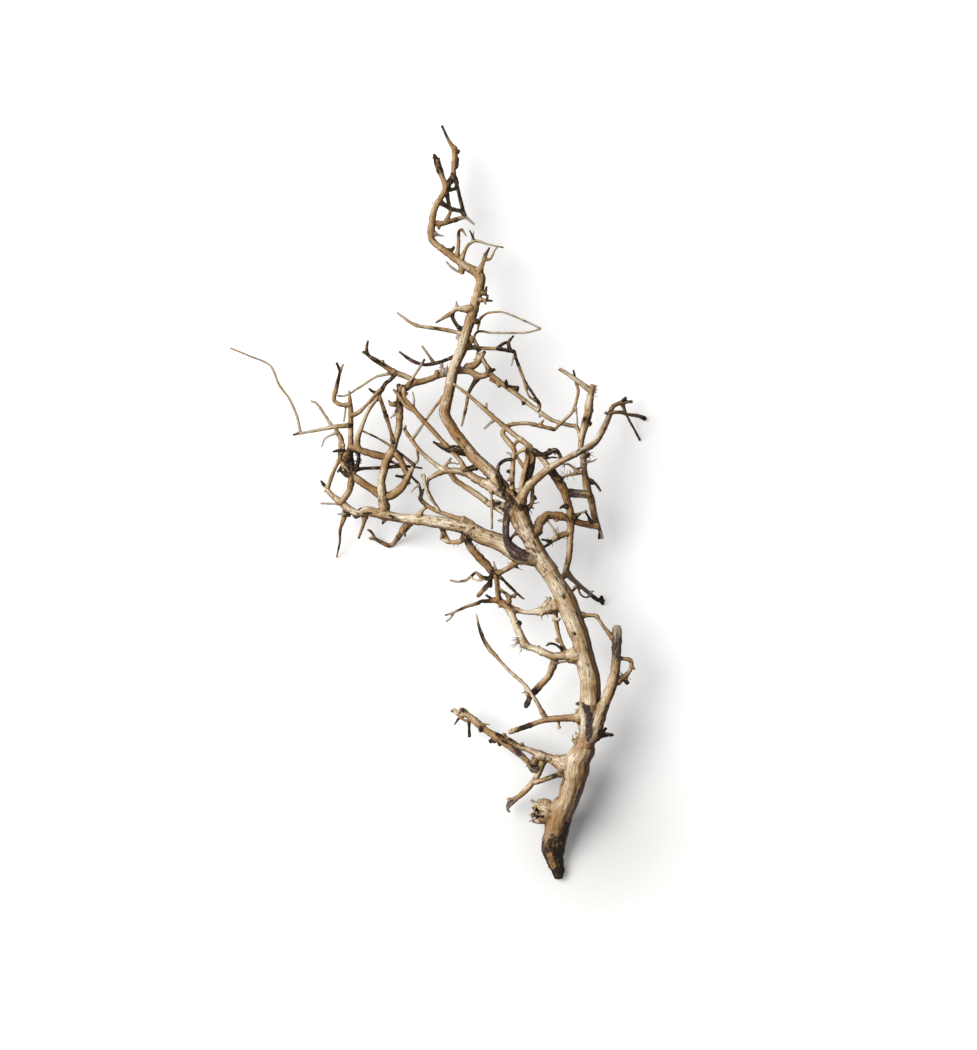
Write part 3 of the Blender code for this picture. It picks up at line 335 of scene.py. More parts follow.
# The limb from the middle of the trunk, with its forks up, down and far to the left.
side_run = Limb((67.5, 65.5, 62, 58, 55), (559, 656, 4.2), (553, 655.5, 3.8), (547, 653.5, 3.6),
    (535, 648.5, 3.4), (529, 646.5, 3.6), (524, 643, 4.8), (519.5, 633, 3.6), (517, 627, 3.8),
    (511, 613, 3.5), (506.5, 605, 4), follow=side_base,
    tone="purple tan tan pale pale tan pale pale pale warm")
grown(
    "side_limb", "brown",
    side_run,
    ((66, 58, 52, 48, 44), (555, 657, 4), (553, 665, 3.8), (549, 675, 3.4), (541.5, 683.5, 3.4),
     (535.5, 690, 3.6), (530, 697, 2.7), (527, 703.5, 2.9), (525.4, 707.2, 2.3),
     "brown tan tan brown dark purple dark"),
    ((67, 67.5, 66), (562, 655, 3), (564, 650, 2), (562, 645, 1.8), (558.5, 634, 2),
     (556, 622, 2.4), (555.5, 612, 2), "brown tan brown brown pale"),
    ((69, 72, 74), (563, 650, 1.6), (556, 644.5, 1.3), (549.5, 643, 1.3), (545.5, 646, 1), "dark"),
    ((53, 55, 58, 62, 66), (500, 601.5, 4), (511, 608, 3.4), (524, 612, 2.2), (531, 612, 2.2),
     (538, 611.5, 2.9), (551, 609, 5.4), "dark brown tan pale tan tan"),
    ((66, 65), (541, 616, 1.5), (546, 605, 3.4), (550.5, 597, 1.8), "tan pale"),
    ((68, 70), (553, 616, 2), (557, 619, 1.7), (560.5, 618.5, 1.5), "pale"),
    ((53, 48, 43, 40, 36), (502, 601.5, 3), (496, 600, 2.4), (486, 601, 2.2), (481, 601, 1.7),
     (478, 603, 2), (468, 606, 1.7), (449, 614, 1.3), (444.5, 615.3, 1),
     "brown dark dark dark brown dark grey dark"),
    ((37, 35), (454, 612.5, 1.5), (451, 617.5, 1.2), (446, 621.5, 1.2), "grey"),
    ((55, 56), (500, 601, 2), (492, 598.5, 1.5), (485.5, 594.5, 1.3), "dark"),
    ((66, 73), (545, 610, 4), (554, 606, 5), (563, 603, 5), "tan"),
    ((60, 61), (519.5, 623, 1.4), (517, 623.5, 1.7), "dark"),
    ((64, 65), (539.5, 649, 1.8), (538, 645.5, 0.9)),
    ((54, 53), (501, 604, 2), (499, 607, 1.1), "dark"),
    ((50, 49), (527, 694, 1.9), (525.3, 691, 1), "tan"),
    ((67, 67), (558, 641, 2), (555.5, 638, 1.2)),
)

# The crown of the trunk, where its main limbs part.
upper_trunk = Limb((79, 80.5, 82, 83.5, 85), (541, 560, 9.3), (536.5, 549.5, 7.9),
    (531.2, 540, 7.6), (525.8, 530, 8.3), (522.3, 520, 8.4), (518.8, 510, 8.2), (515.5, 503, 7),
    follow=middle_trunk, tone="tan pale tan pale tan brown")
leader_base = Limb((85, 84, 82), (520, 508, 7.5), (513, 498.5, 7), (508, 493, 6.5), (498.5, 483, 6),
    (494, 476.5, 6), tone="brown dark brown tan")
tan_base = Limb((84, 80.5), (511, 498, 5.5), (500, 490.5, 4.6), (488, 485, 4.6), (481, 481.5, 4.4),
    tone="tan pale pale tan")
left_base = Limb((80, 79, 75, 73), (534, 559, 6.8), (522, 556.5, 6.9), (512, 551.5, 7.5),
    (503, 544.3, 8.5), (490, 538.8, 8.3), (480, 534.8, 8.2), tone="tan tan pale tan tan")
right_base = Limb((88, 90, 91), (518, 509, 4.5), (522, 498, 4), (526, 490, 4.2),
    tone="dark brown tan")
cross_base = Limb((82, 78), (529, 540, 6), (532, 534, 5), (538.5, 528, 4.3), tone="brown")
upright_base = Limb((86, 86), (519, 506, 4), (520.5, 498, 2.6), (521, 490, 2.5), tone="dark tan")
grown(
    "crown", "tan",
    upper_trunk, leader_base, tan_base, left_base, right_base, cross_base, upright_base,
    ((84, 86, 87, 86, 84), (511, 501, 4), (509, 507, 3.4), (507.2, 515, 3.4), (506, 525, 3.3),
     (506, 535, 3.2), (506.8, 541, 3.3), (510, 547, 3.6), (516, 552.5, 4.2), (524, 556.5, 4.6),
     (532, 558, 4.5), "dark purple purple purple purple purple purple tan"),
    ((85, 82), (513, 500, 4), (513.5, 516, 4.5), (520, 530, 4.6), (531, 545, 5),
     "dark brown tan pale"),
    ((85, 83), (508.5, 541.5, 1.3), (513, 536, 1.5), (519, 530.5, 1.6), "dark"),
    ((80, 77.5, 77), (509, 516, 3), (500, 510, 2.8), (488.5, 503.5, 3.2), (484, 500, 2.8), "pale"),
    ((83, 82, 81), (533, 486.5, 1.7), (532, 495, 2.1), (531.5, 504, 2.2), (523, 511, 2.6),
     "brown brown dark"),
    ((85, 82), (491, 490, 1.4), (491.8, 505, 1.5), (491.8, 513, 1.4), (492, 529, 1.3)),
    ((82, 84), (491.5, 501, 1.4), (497, 501.5, 1.7), (506, 507, 2.6)),
    ((84, 85), (491, 504.5, 1), (500, 503.5, 1.3), "dark"),
    ((82, 83), (534, 497, 1.6), (536.5, 500, 0.9), "dark"),
    ((84, 85), (506, 520.5, 1.6), (497.5, 520.5, 1.1), "grey"),
    ((85, 85), (507, 511, 1.6), (501.5, 509, 1.1), (498, 508, 0.8), "dark"),
)

# The left main limb, out to where it carries the limbs that stand up from it.
left_run = Limb((71, 69, 66, 63, 60, 56), (470, 529, 7.6), (460, 526, 6.6), (450, 524.6, 5.8),
    (440, 522.7, 5.6), (430, 521, 5.4), (417, 519.5, 5.5), follow=left_base,
    tone="tan tan tan pale pale pale")
spray_base = Limb((70, 67), (470, 528, 4), (468, 534, 4), (468, 541, 3.6), tone="brown dark dark")
grown(
    "left_limb", "tan",
    left_run, spray_base,
    ((72, 71, 69, 67, 67), (478, 531, 3), (471, 523, 3), (464, 520.5, 2.8), (451, 516, 2.2),
     (438, 511.5, 2.2), (428, 506, 2.3), (423, 502, 2.4), (420.5, 498, 2.2), (424.5, 488.5, 1.1),
     "tan tan brown tan brown brown dark dark"),
    ((67, 62, 59), (429, 506, 1.8), (424, 509, 1.7), (418, 517, 2.4)),
    ((66, 63, 60), (466, 534, 3), (460, 541.5, 2.4), (450, 542, 2.1), (439.5, 538.5, 1.3),
     "dark brown tan tan pale"),
    ((62, 61, 60), (442, 525, 2.4), (443.5, 531, 1.8), (448, 540, 1.6), "dark brown"),
    ((68.5, 72, 76.5, 79, 80), (439.5, 511.8, 1.8), (436.5, 506, 1.6), (429.5, 495, 2),
     (425, 483, 2), (421.5, 474, 1.1), "pale"),
    ((66, 64, 62), (421.8, 494, 1.8), (419, 484, 1.5), (416.5, 481.5, 1.4), (413.2, 478.4, 1.1),
     "dark"),
    ((79.5, 80), (425.5, 484, 1.6), (424.5, 478, 1.3), (424, 473.5, 0.9), "pale"),
    ((66, 65), (419, 485, 1.4), (415, 488, 1.1), (411, 493, 0.8), "grey"),
    ((63, 62), (415, 480, 1.2), (412.5, 477.5, 1), (410, 475, 0.9), "dark"),
    ((66, 65), (477, 538, 1.8), (484, 545, 1), (487, 543, 0.7), "grey"),
    ((61, 61), (443, 528, 1.2), (441.5, 538, 1.3), "brown"),
    ((67, 67), (457, 519.5, 2), (456.5, 515.5, 1), "brown"),
)

# The far end of the left main limb, which comes down to the ground at its knee and at its last twig.
grown(
    "left_end", "brown",
    Limb((52, 48, 44, 41, 38, 34, 30), (410, 519, 5), (395, 517, 4.6), (381, 514, 4.8),
        (368, 511.5, 4.6), (357, 513, 3.7), (347, 507.5, 4), (342, 503, 3.6), (332, 495, 2.7),
        (323.5, 484, 1.7), (321, 480.5, 1), follow=left_run,
        tone="pale pale pale tan warm pale pale tan tan brown dark"),
    ((52, 42, 32, 21, 9, 2.2, 2.3, 5), (413, 519, 4), (407.5, 525, 4), (404, 529, 3.6),
     (400.5, 534, 3), (397, 539, 2.6), (393, 544, 2.2), (388.5, 545.5, 2.2), (380, 541.5, 2),
     "tan tan brown tan brown tan brown pale"),
    ((5, 9, 12), (381, 542, 2), (375, 539, 1.8), (369, 538, 1.2), "pale tan pale"),
    ((9, 13, 18), (376, 539.5, 1.6), (371, 531.5, 1.4), (367.5, 529.5, 1), "pale tan"),
    ((39, 32, 23, 13, 2), (347, 508, 3.4), (344, 519, 2.3), (340.5, 529, 1.7), (340, 541, 1.3),
     (339, 547, 1.1), (336.5, 557.5, 0.8), "dark brown brown dark brown dark brown"),
    ((41, 34, 24), (366, 512, 3), (364, 523, 1.8), (358.7, 538.5, 1.3), "brown tan brown dark"),
    ((30, 34), (320.5, 503.5, 1.1), (341, 504, 1.4), "grey"),
    ((37, 36), (348, 509, 3.4), (349, 515, 2.6), "dark"),
    ((42, 41), (361, 511, 3), (359, 515.5, 2.2), "dark"),
    ((38, 37), (346, 513, 1.6), (341, 514.3, 1), (337.5, 514, 0.7), "grey"),
    ((46, 45), (385, 518, 1.8), (384, 521.5, 1.2), (382.3, 524.5, 0.8), "dark"),
    ((41, 40), (355, 515, 1.8), (357, 518.5, 1), "dark"),
    ((38.5, 38.5), (403.4, 530, 2.6), (405.5, 537, 0.8)),
    ((34, 33), (329, 491, 2.6), (324.5, 489.5, 2), "pale"),
)

# The spray of twigs in the lap between the left main limb and the trunk.
grown(
    "spray", "dark",
    Limb((65.5, 62, 60, 60), (472, 549, 3.8), (481, 559, 3.9), (487, 565, 3.9), (491, 570, 3.6),
        (495, 572, 2.6), follow=spray_base, tone="dark brown brown brown dark"),
    ((60, 63, 68, 76), (493, 571, 2.4), (500, 572, 2.4), (509, 567.5, 2.7), (516, 561.5, 3.2),
     (520, 557, 3.8), "dark brown warm purple"),
    ((60, 58, 56), (494, 571, 2.2), (491, 576.5, 2), (490.5, 586, 1.8)),
    ((57.5, 52, 46), (490.5, 582, 2.4), (486, 587, 2.6), (479, 594.5, 2.2), (477.5, 596.5, 1.6),
     "dark purple brown dark"),
    ((58, 61, 56, 50, 46), (490.5, 579, 2.4), (482, 577, 2), (476, 572.5, 1.5), (473, 574.5, 1.4),
     (466, 580, 1.4), (457, 581.5, 1.3), (450, 580, 0.9),
     "dark dark brown dark brown dark grey tan"),
    ((60, 57, 55), (495, 572, 1.8), (496, 583, 1.5), (496.5, 589, 1.5), (498.5, 601, 2),
     "brown warm brown warm"),
    ((60, 62, 64), (496, 572, 2), (499.5, 576, 1.5), (511, 587.5, 1.5), (519, 595, 1.2),
     (524, 599, 1)),
    ((57, 57, 56), (496.5, 586, 1.3), (503, 591.5, 1.5), (508.5, 596, 1.8), (508.5, 604, 2.2),
     "brown dark brown dark"),
    ((56.5, 58), (507, 596, 1.8), (511, 596.5, 1.5), (517, 592.5, 1.9), "dark dark pale"),
    ((60, 55), (497.5, 574, 1.3), (498.5, 582, 1.1), (499.5, 592, 1.1), (500, 600, 1.4)),
    ((60, 60), (495.5, 570, 1.4), (494.5, 564.5, 1), (493.5, 561, 0.7), "grey"),
    ((60, 57), (484, 578.5, 1.6), (478, 580.3, 1.2), (474, 579.3, 0.9), (471, 577, 0.7), "pale"),
    ((57, 56), (512, 596.5, 1.8), (515.5, 595.5, 2.5), "brown"),
    ((67, 65), (513.2, 564, 2.4), (518, 568, 1), "tan"),
)

# The limb that stands up from the left main limb, with its loop and the twigs that cross it.
limb_b_run = Limb((46, 53, 57, 60, 64, 67, 70), (385.5, 514, 4.4), (384.5, 506, 5.4),
    (382.8, 498, 4.8), (382, 480, 4), (384.5, 470, 4), (387, 460, 4.2), (391.6, 453, 4.2),
    (394.3, 446.1, 3.6), (399.2, 428.2, 3.4), (400.1, 410.4, 3.4), (400, 401, 3.4),
    (400.2, 388, 3.1), tone="tan tan pale tan brown tan tan brown dark brown")
grown(
    "limb_b", "brown",
    limb_b_run,
    ((66, 61, 56, 52, 51), (414.5, 465, 1.8), (409, 476, 2.8), (402.5, 487, 4), (397, 492, 4),
     (391, 495.5, 4), (384, 497, 4), "tan brown warm brown dark"),
    ((61, 60, 59, 57), (391, 450, 2.4), (399, 457, 3), (405, 469, 3), (409, 478, 2.8),
     "tan brown brown"),
    ((58, 58), (407, 477.5, 1.6), (395.5, 476, 1.3), "dark"),
    ((67, 66), (400, 404, 2.6), (391.6, 404.6, 1.8), (388.5, 400.5, 1), "dark brown"),
    ((70, 71, 69, 67), (363, 431.3, 1), (377.3, 438, 1.1), (390.7, 446.1, 1.4), (404.1, 456.8, 1.6),
     (413.9, 464.8, 1.8), "brown dark brown dark brown"),
    ((50, 53, 53.5, 54), (354, 470, 2.2), (364, 468.6, 1.6), (383.8, 467.8, 1.8),
     (403.7, 466.2, 1.6), (422.9, 468.4, 1), "dark"),
    ((66, 65), (397.5, 411, 2), (396, 413.5, 1.3), (390.5, 419, 0.8), "grey"),
    ((56, 56), (391, 461.5, 1.2), (396.1, 463.9, 1.2), (402, 466, 1.3), "dark"),
    ((58, 58), (408, 481, 1.6), (410, 484.5, 0.9)),
    ((70, 71), (399.5, 388, 2), (398.5, 384.5, 1), "dark"),
    ((70, 71), (402, 388, 1.8), (403.3, 385, 0.8)),
)

# The post at the far left, with its twin, its clawed head and the long whip to the left.
post_foot = Limb((40, 44, 50, 51), (341.5, 503, 3.4), (344, 499, 3), (347, 495, 2.8),
    (350, 490, 2.8), (351.5, 480, 3), (352, 471, 3.4), tone="brown tan brown dark")
grown(
    "left_post", "brown",
    ((51, 56, 60, 63, 66, 69), (352, 472, 3.4), (351, 465, 3.8), (350, 455, 3.6), (351, 446, 3),
     (351.3, 437.1, 2.7), (351.2, 410.4, 2.6), (350.4, 401.4, 1.9), (349.5, 391, 1.2),
     "dark dark dark brown tan brown brown brown tan"),
    post_foot,
    ((53, 50.5, 50, 50, 50), (341, 457, 2.4), (344, 465, 2.8), (353, 475.5, 3.6), (364, 484, 4),
     (374, 490, 3.7), (382, 497, 3), "brown tan tan warm warm brown"),
    ((62, 58, 54), (336, 429, 2), (341.5, 440, 3), (340.5, 452, 2.4), (341, 459, 2.4),
     "brown tan tan brown"),
    ((54, 44, 37), (341, 457, 2), (335, 469, 2), (330.5, 481, 2), (328, 488, 2.4),
     "brown tan brown tan"),
    ((60, 56, 51), (351, 449, 2.4), (358.5, 453, 1.9), (358, 464, 2), (353, 473, 2.6), "dark"),
    ((64, 60, 56), (351, 425.5, 2.6), (336.1, 426.9, 2.1), (320, 430, 1.7), (298.6, 434, 1.3),
     "dark brown tan tan grey tan"),
    ((56, 52, 47, 42, 38), (301, 433, 1.4), (297.7, 417.5, 1.3), (290.1, 399.6, 1.2),
     (279.8, 385.4, 1.1), (270.4, 365.7, 1.1), (249.5, 356.1, 0.9), (230.5, 348.2, 0.8),
     "tan grey brown grey brown brown"),
    ((61, 59, 56), (332.9, 427.5, 1.6), (320.9, 408.6, 1.3), (316.4, 403.2, 1.2), (311.1, 401.4, 1),
     "tan grey"),
    ((62, 60), (338, 432.5, 1.3), (325.4, 438.9, 1), (322.2, 447.4, 0.8), "grey"),
    ((67, 68, 70, 72), (351, 405, 2.4), (340.5, 405, 2.2), (334.5, 400, 2.2), (337, 388, 2),
     (341.2, 370, 1.5), "brown tan brown dark dark"),
    ((72, 74), (340.8, 372, 1.4), (337, 363, 1.2), "dark"),
    ((72, 74), (341, 372, 1.2), (343.9, 364.5, 1)),
    ((61, 62), (350.5, 447, 2.6), (358, 449, 3)),
    ((60, 58), (341.5, 440, 1.4), (344, 447, 1.3), (342, 454, 1.4), "tan"),
    ((59, 56), (349.5, 450, 1.8), (346, 455, 1.7), (343.5, 459.5, 1.5)),
    ((60, 59), (333, 452, 1), (338, 451, 1.3), (346, 450.3, 1.4), "dark"),
    ((48, 49), (337.5, 472.5, 1), (341, 468.5, 1.7), (343.5, 464.5, 1.2), "dark"),
    ((48, 50), (341, 470.5, 1.4), (345, 474, 1.6), (350, 475.5, 2.6), "dark"),
    ((66, 64), (346.5, 405, 1), (345.4, 414, 1), (344.3, 422, 1), "grey"),
    ((56, 56), (299, 433.5, 1.3), (293.5, 435.4, 1), "dark"),
    ((58, 59), (349, 459, 2), (344.8, 462, 1), "dark"),
)

# The slanting limb between the post and the limb that stands beside it.
grown(
    "slanted", "tan",
    ((70, 70, 69, 67, 63, 56.5), (397, 372.5, 1.8), (391, 380, 1.8), (385.4, 384.5, 2),
     (379.1, 396.1, 2), (368.8, 410.9, 1.9), (364.9, 420, 1.9), (358.5, 437, 2.8), (358, 445, 3.1),
     (360, 450, 3.2), (374.6, 454.6, 3.6), (383, 456.6, 3.6), (389, 458, 4),
     "dark dark dark tan tan pale tan brown tan warm tan"),
    ((71, 69, 67), (380, 390.5, 1.8), (370.2, 401.4, 1.6), (359.5, 412.6, 2), (351.5, 416, 2.4),
     "brown tan brown"),
    ((70, 68, 64), (379.5, 396, 1.8), (383.6, 407.7, 2), (391.6, 433.6, 1.8), (393.8, 443, 2),
     "brown dark brown dark"),
    ((70, 69), (377.5, 393.5, 1.8), (373, 392.1, 1.4), (369, 388.7, 0.8), "dark"),
    ((67, 67), (375, 402, 1.2), (381.5, 399.8, 0.8), "brown"),
)

# The pale limb from the crown towards the left, with its twin below and the slanting strands above.
tan_run = Limb((79.5, 79, 78, 75, 69), (474, 478, 4.2), (468, 474, 3.6), (455, 471, 3.2),
    (442, 472.5, 2.6), (430.5, 478, 2.2), (427.6, 482, 1.8), (428, 489, 1.1), follow=tan_base,
    tone="tan tan tan brown tan pale")
grown(
    "tan_limb", "pale",
    tan_run,
    ((78, 77, 77, 78), (450, 472, 2.8), (456, 480.5, 2.6), (467, 488, 2.8), (479, 496, 2.8),
     (486, 501.5, 3), "brown brown tan pale tan"),
    ((79.5, 78, 77, 76, 74), (465, 472, 2.4), (461.3, 462.1, 2.2), (444.3, 443.4, 2.2),
     (430, 427.8, 2.4), (410.4, 405.9, 2.4), (405, 398.5, 2), (404, 388, 2.2),
     "brown tan brown tan dark brown tan brown tan"),
    ((76, 76.5, 75), (414, 411, 2), (406.8, 406.8, 2), (397.9, 394.3, 1.7), (393.3, 389.8, 1.2),
     "tan brown"),
    ((79, 77, 75, 74), (455, 471, 2.6), (441.6, 468.4, 2.2), (422.9, 453.7, 2), (411.7, 439.8, 2),
     (405.4, 430.4, 1.8), (406, 425.5, 1.2), "tan pale tan tan brown"),
    ((76, 71, 66), (417.5, 449, 1.6), (418.4, 459, 1.2), (417, 463, 1.2), "tan grey"),
    ((77, 75, 72, 73), (414, 438, 1.6), (422, 426.4, 1.5), (436.3, 405.9, 1.5), (441.6, 400.5, 1.6),
     (447, 392, 2), "brown grey brown dark"),
    ((78, 78), (443.5, 469, 1.6), (448, 462.5, 1.6), (451.7, 458, 1), "tan grey"),
    ((80, 80), (464, 471.5, 2.8), (472, 468.5, 2.4), (479, 465.5, 2.4), "dark"),
    ((76.5, 77), (467, 452, 4), (459.5, 450.5, 4.6), (450.5, 449.6, 4), (444.3, 447.9, 2.6),
     (433, 442, 1.2), "dark"),
    ((75, 75), (405.6, 429, 1.4), (403.5, 430.6, 0.9), "dark"),
    ((78, 78), (449, 463, 1), (453, 463.2, 1), (459, 464.4, 0.9), "grey"),
    ((66, 70, 75), (412.8, 392, 0.8), (414.4, 400.5, 0.9), (413.4, 408.6, 1.1), "grey"),
    ((67, 66), (418.5, 458, 1.2), (418.3, 461, 1.1), (414, 465, 0.9), "grey"),
    ((74, 74), (405.4, 395, 1.4), (408.5, 393.5, 0.8), "brown"),
    ((75, 73), (430, 478, 1.4), (436, 474, 1.4), (444, 472, 1.4)),
)

# The leader, from the crown to the bend at its head.
leader_low_run = Limb((81, 79, 77, 76, 75, 74), (483, 465.5, 5.6), (476.5, 460, 5.6),
    (464.8, 445.2, 5.4), (454.1, 430.9, 5), (448.8, 422.9, 5.2), (444.7, 413.9, 5.4),
    (447.9, 397.9, 5), (450.1, 387.1, 5), follow=leader_base,
    tone="pale tan warm brown warm tan tan brown")
grown(
    "leader_low", "tan",
    leader_low_run,
)
leader_mid_run = Limb((74, 71, 68.5, 66, 63, 60, 57.5), (453.5, 371, 5), (455.5, 365, 5.2),
    (461.6, 350.4, 5.4), (466.5, 332.5, 5), (472.3, 314.6, 4.8), (476.8, 297.7, 4.6),
    (480.5, 284, 4.4), (480.4, 277.5, 4.7), (475.9, 272.7, 4.6), (467.9, 268.2, 4),
    follow=leader_low_run, tone="tan tan pale tan tan warm tan tan brown brown")
grown(
    "leader_mid", "brown",
    leader_mid_run,
    ((67, 66, 66), (471, 309.5, 3.6), (462.5, 309.7, 2.8), (456.3, 309.7, 2.4), (450, 314.6, 2.1),
     (435.7, 323.6, 1), "brown tan tan brown dark"),
    ((66, 67, 68), (453.5, 311, 1.9), (452.7, 318.2, 1.8), (458.9, 328, 1.8), (466, 331, 1.8),
     "dark"),
    ((66, 66), (457, 309, 1.4), (456.5, 301.5, 1), "grey"),
    ((58, 61, 64, 67), (397, 313, 1), (408.9, 321.8, 1.4), (417.9, 326.3, 1.8), (444.6, 330.3, 2),
     (466, 335, 2), "grey tan brown tan dark brown tan tan"),
    ((69, 69), (469, 322.5, 2), (479, 322, 1.9), "brown dark"),
    ((69, 72, 73, 74), (478.4, 322.5, 1.4), (481.3, 318.2, 1.3), (487.5, 313.8, 1.2),
     (502.7, 313, 1.1), (525, 321.8, 1.1), (541, 329.4, 1.1), "dark brown grey tan grey"),
    ((70, 71, 73, 74), (464, 346, 1.6), (470.5, 344.1, 1.4), (477.7, 332.5, 1.3),
     (491.1, 333.4, 1.2), (525, 333.2, 1.2), (541, 329.8, 1.1), "brown dark grey tan grey"),
    ((69, 68), (467, 339, 2.2), (473.2, 339.6, 2), (479.3, 352.5, 2.3), "tan purple"),
    ((65, 66), (476, 297, 2.4), (480.4, 300.4, 1.7), (492.9, 301.7, 1), "tan dark"),
    ((64, 64), (477, 292.5, 2), (484.5, 293.5, 1.5), (486.8, 287, 1), "brown dark"),
    ((61, 62), (479, 273, 2.8), (482.1, 265.5, 2.1), (485.5, 256, 1.9), (489.7, 248.1, 0.9),
     "tan brown dark"),
    ((61.5, 62), (485.2, 260.5, 1.6), (490.2, 259.7, 1.3), (494.6, 251.3, 1.1), (497.8, 247.7, 0.8),
     "brown grey"),
    ((70, 72, 76, 78), (464, 346.8, 2.4), (475.9, 348.6, 2), (498.2, 349.5, 1.9), (506, 350.6, 1.9),
     "dark dark brown dark"),
    ((68, 68), (477, 322.5, 1.3), (479.3, 321.5, 1.6), (477.5, 331, 1.1)),
    ((76, 75), (497, 349, 1.8), (502.7, 344.6, 1.6), (507.5, 342.7, 1.6), "dark"),
    ((64, 64), (484, 294, 1.4), (487, 296.5, 0.9), "dark"),
    ((66, 66), (486.5, 301.5, 1.2), (488.2, 295.5, 0.8), "dark"),
    ((66, 66), (484.5, 301.5, 1.2), (485.9, 305.5, 0.8), "grey"),
    ((67, 67), (456, 337.5, 1.6), (462, 340, 2), "grey"),
    ((64, 64), (471, 316, 2.4), (466, 318, 1)),
)

# The head of the leader, with its cage of struts and its spur twigs.
leader_top_run = Limb((55.5, 53.5, 52, 50, 49, 47, 44), (460.7, 263.3, 3.6), (452.7, 257.5, 3.6),
    (437.5, 245.9, 3), (431.7, 240, 3.3), (431.3, 233.4, 3.6), (432.2, 222.5, 3.4),
    (434.5, 210.9, 3), (438.5, 202.9, 2.9), (445.6, 188.6, 2.7), (443, 179.6, 2.6),
    (438.5, 167.1, 3.4), (436.5, 161, 3.2), follow=leader_mid_run,
    tone="tan tan brown warm tan warm warm warm tan brown brown brown dark dark")
grown(
    "leader_top", "tan",
    leader_top_run,
    ((44, 44), (436.7, 163, 2), (434, 154.6, 1), "dark"),
    ((45, 46, 46, 47), (441.9, 126.3, 1.2), (447, 137.7, 1.4), (451.4, 145.7, 2), (454.8, 150, 2.9),
     (454.4, 158, 2.8), (453.6, 170, 2.4), (452.8, 177.9, 3), (446, 187.5, 3.4),
     "dark dark brown warm tan brown dark dark"),
    ((46, 46), (454.8, 151, 2), (459.7, 153.2, 1.2), "dark"),
    ((46, 47, 47), (449.5, 190.5, 2), (455, 189.5, 1.5), (457.5, 184, 1.5), (455.5, 178, 2),
     "dark"),
    ((46, 46), (453.5, 171, 1.6), (457.3, 166, 1.2), (457.5, 160, 1.1), (455, 156.5, 1.4), "dark"),
    ((47, 48, 47), (452.8, 175, 2.2), (455, 178.8, 1.9), (462.1, 207.3, 2), (464.4, 217.5, 2.3),
     "dark"),
    ((48, 49, 49), (445.5, 188.5, 2), (450.1, 210, 1.7), (450, 214, 1.8), (445, 224, 2),
     "dark dark dark brown dark"),
    ((49, 49, 48), (439, 202, 2.2), (450.1, 209.1, 2), (463, 212.7, 2), (464.6, 216.3, 2), "dark"),
    ((50, 49, 48, 47), (433, 223.4, 2.7), (442.5, 224.3, 2.4), (464.8, 218, 2), (470.2, 221.6, 1.4),
     (474.6, 225.2, 1.2), "brown brown dark grey ash"),
    ((55, 54, 53), (456.5, 260, 2.2), (458.5, 246.8, 1.8), (458.9, 232.5, 1.6), (461.6, 230.3, 1.4),
     (466.5, 237, 0.9), "tan brown dark grey"),
    ((56, 56, 57, 58), (461, 262, 2), (464.3, 253, 1.8), (468.5, 245.5, 1.7), (475.9, 241.6, 1.5),
     (489.3, 245.4, 1.1), (503.6, 248.4, 0.8), "tan brown tan grey dark"),
    ((56.5, 56), (474.5, 242, 1.4), (469.6, 230.7, 0.8), "dark"),
    ((52, 52), (446, 252, 2.2), (451, 251.5, 2), (454.6, 247, 1.2), "dark"),
    ((57, 57), (461.5, 265, 2.6), (462.3, 275, 2.1), "brown"),
    ((56, 57), (446, 262, 1), (451.8, 268.2, 1.5), (459, 273, 1.3), "ash"),
    ((56, 56), (472, 243, 1.2), (473.5, 236, 0.8), (473.7, 231.5, 0.6), "grey"),
    ((50, 49), (438, 222, 1.6), (439.5, 230.5, 0.9), "brown"),
    ((52, 51), (433, 234, 2), (439.8, 236.1, 1.1), (444.5, 236.7, 0.7), "grey"),
    ((44, 43), (438, 164.5, 1.6), (439, 158.6, 0.8)),
)

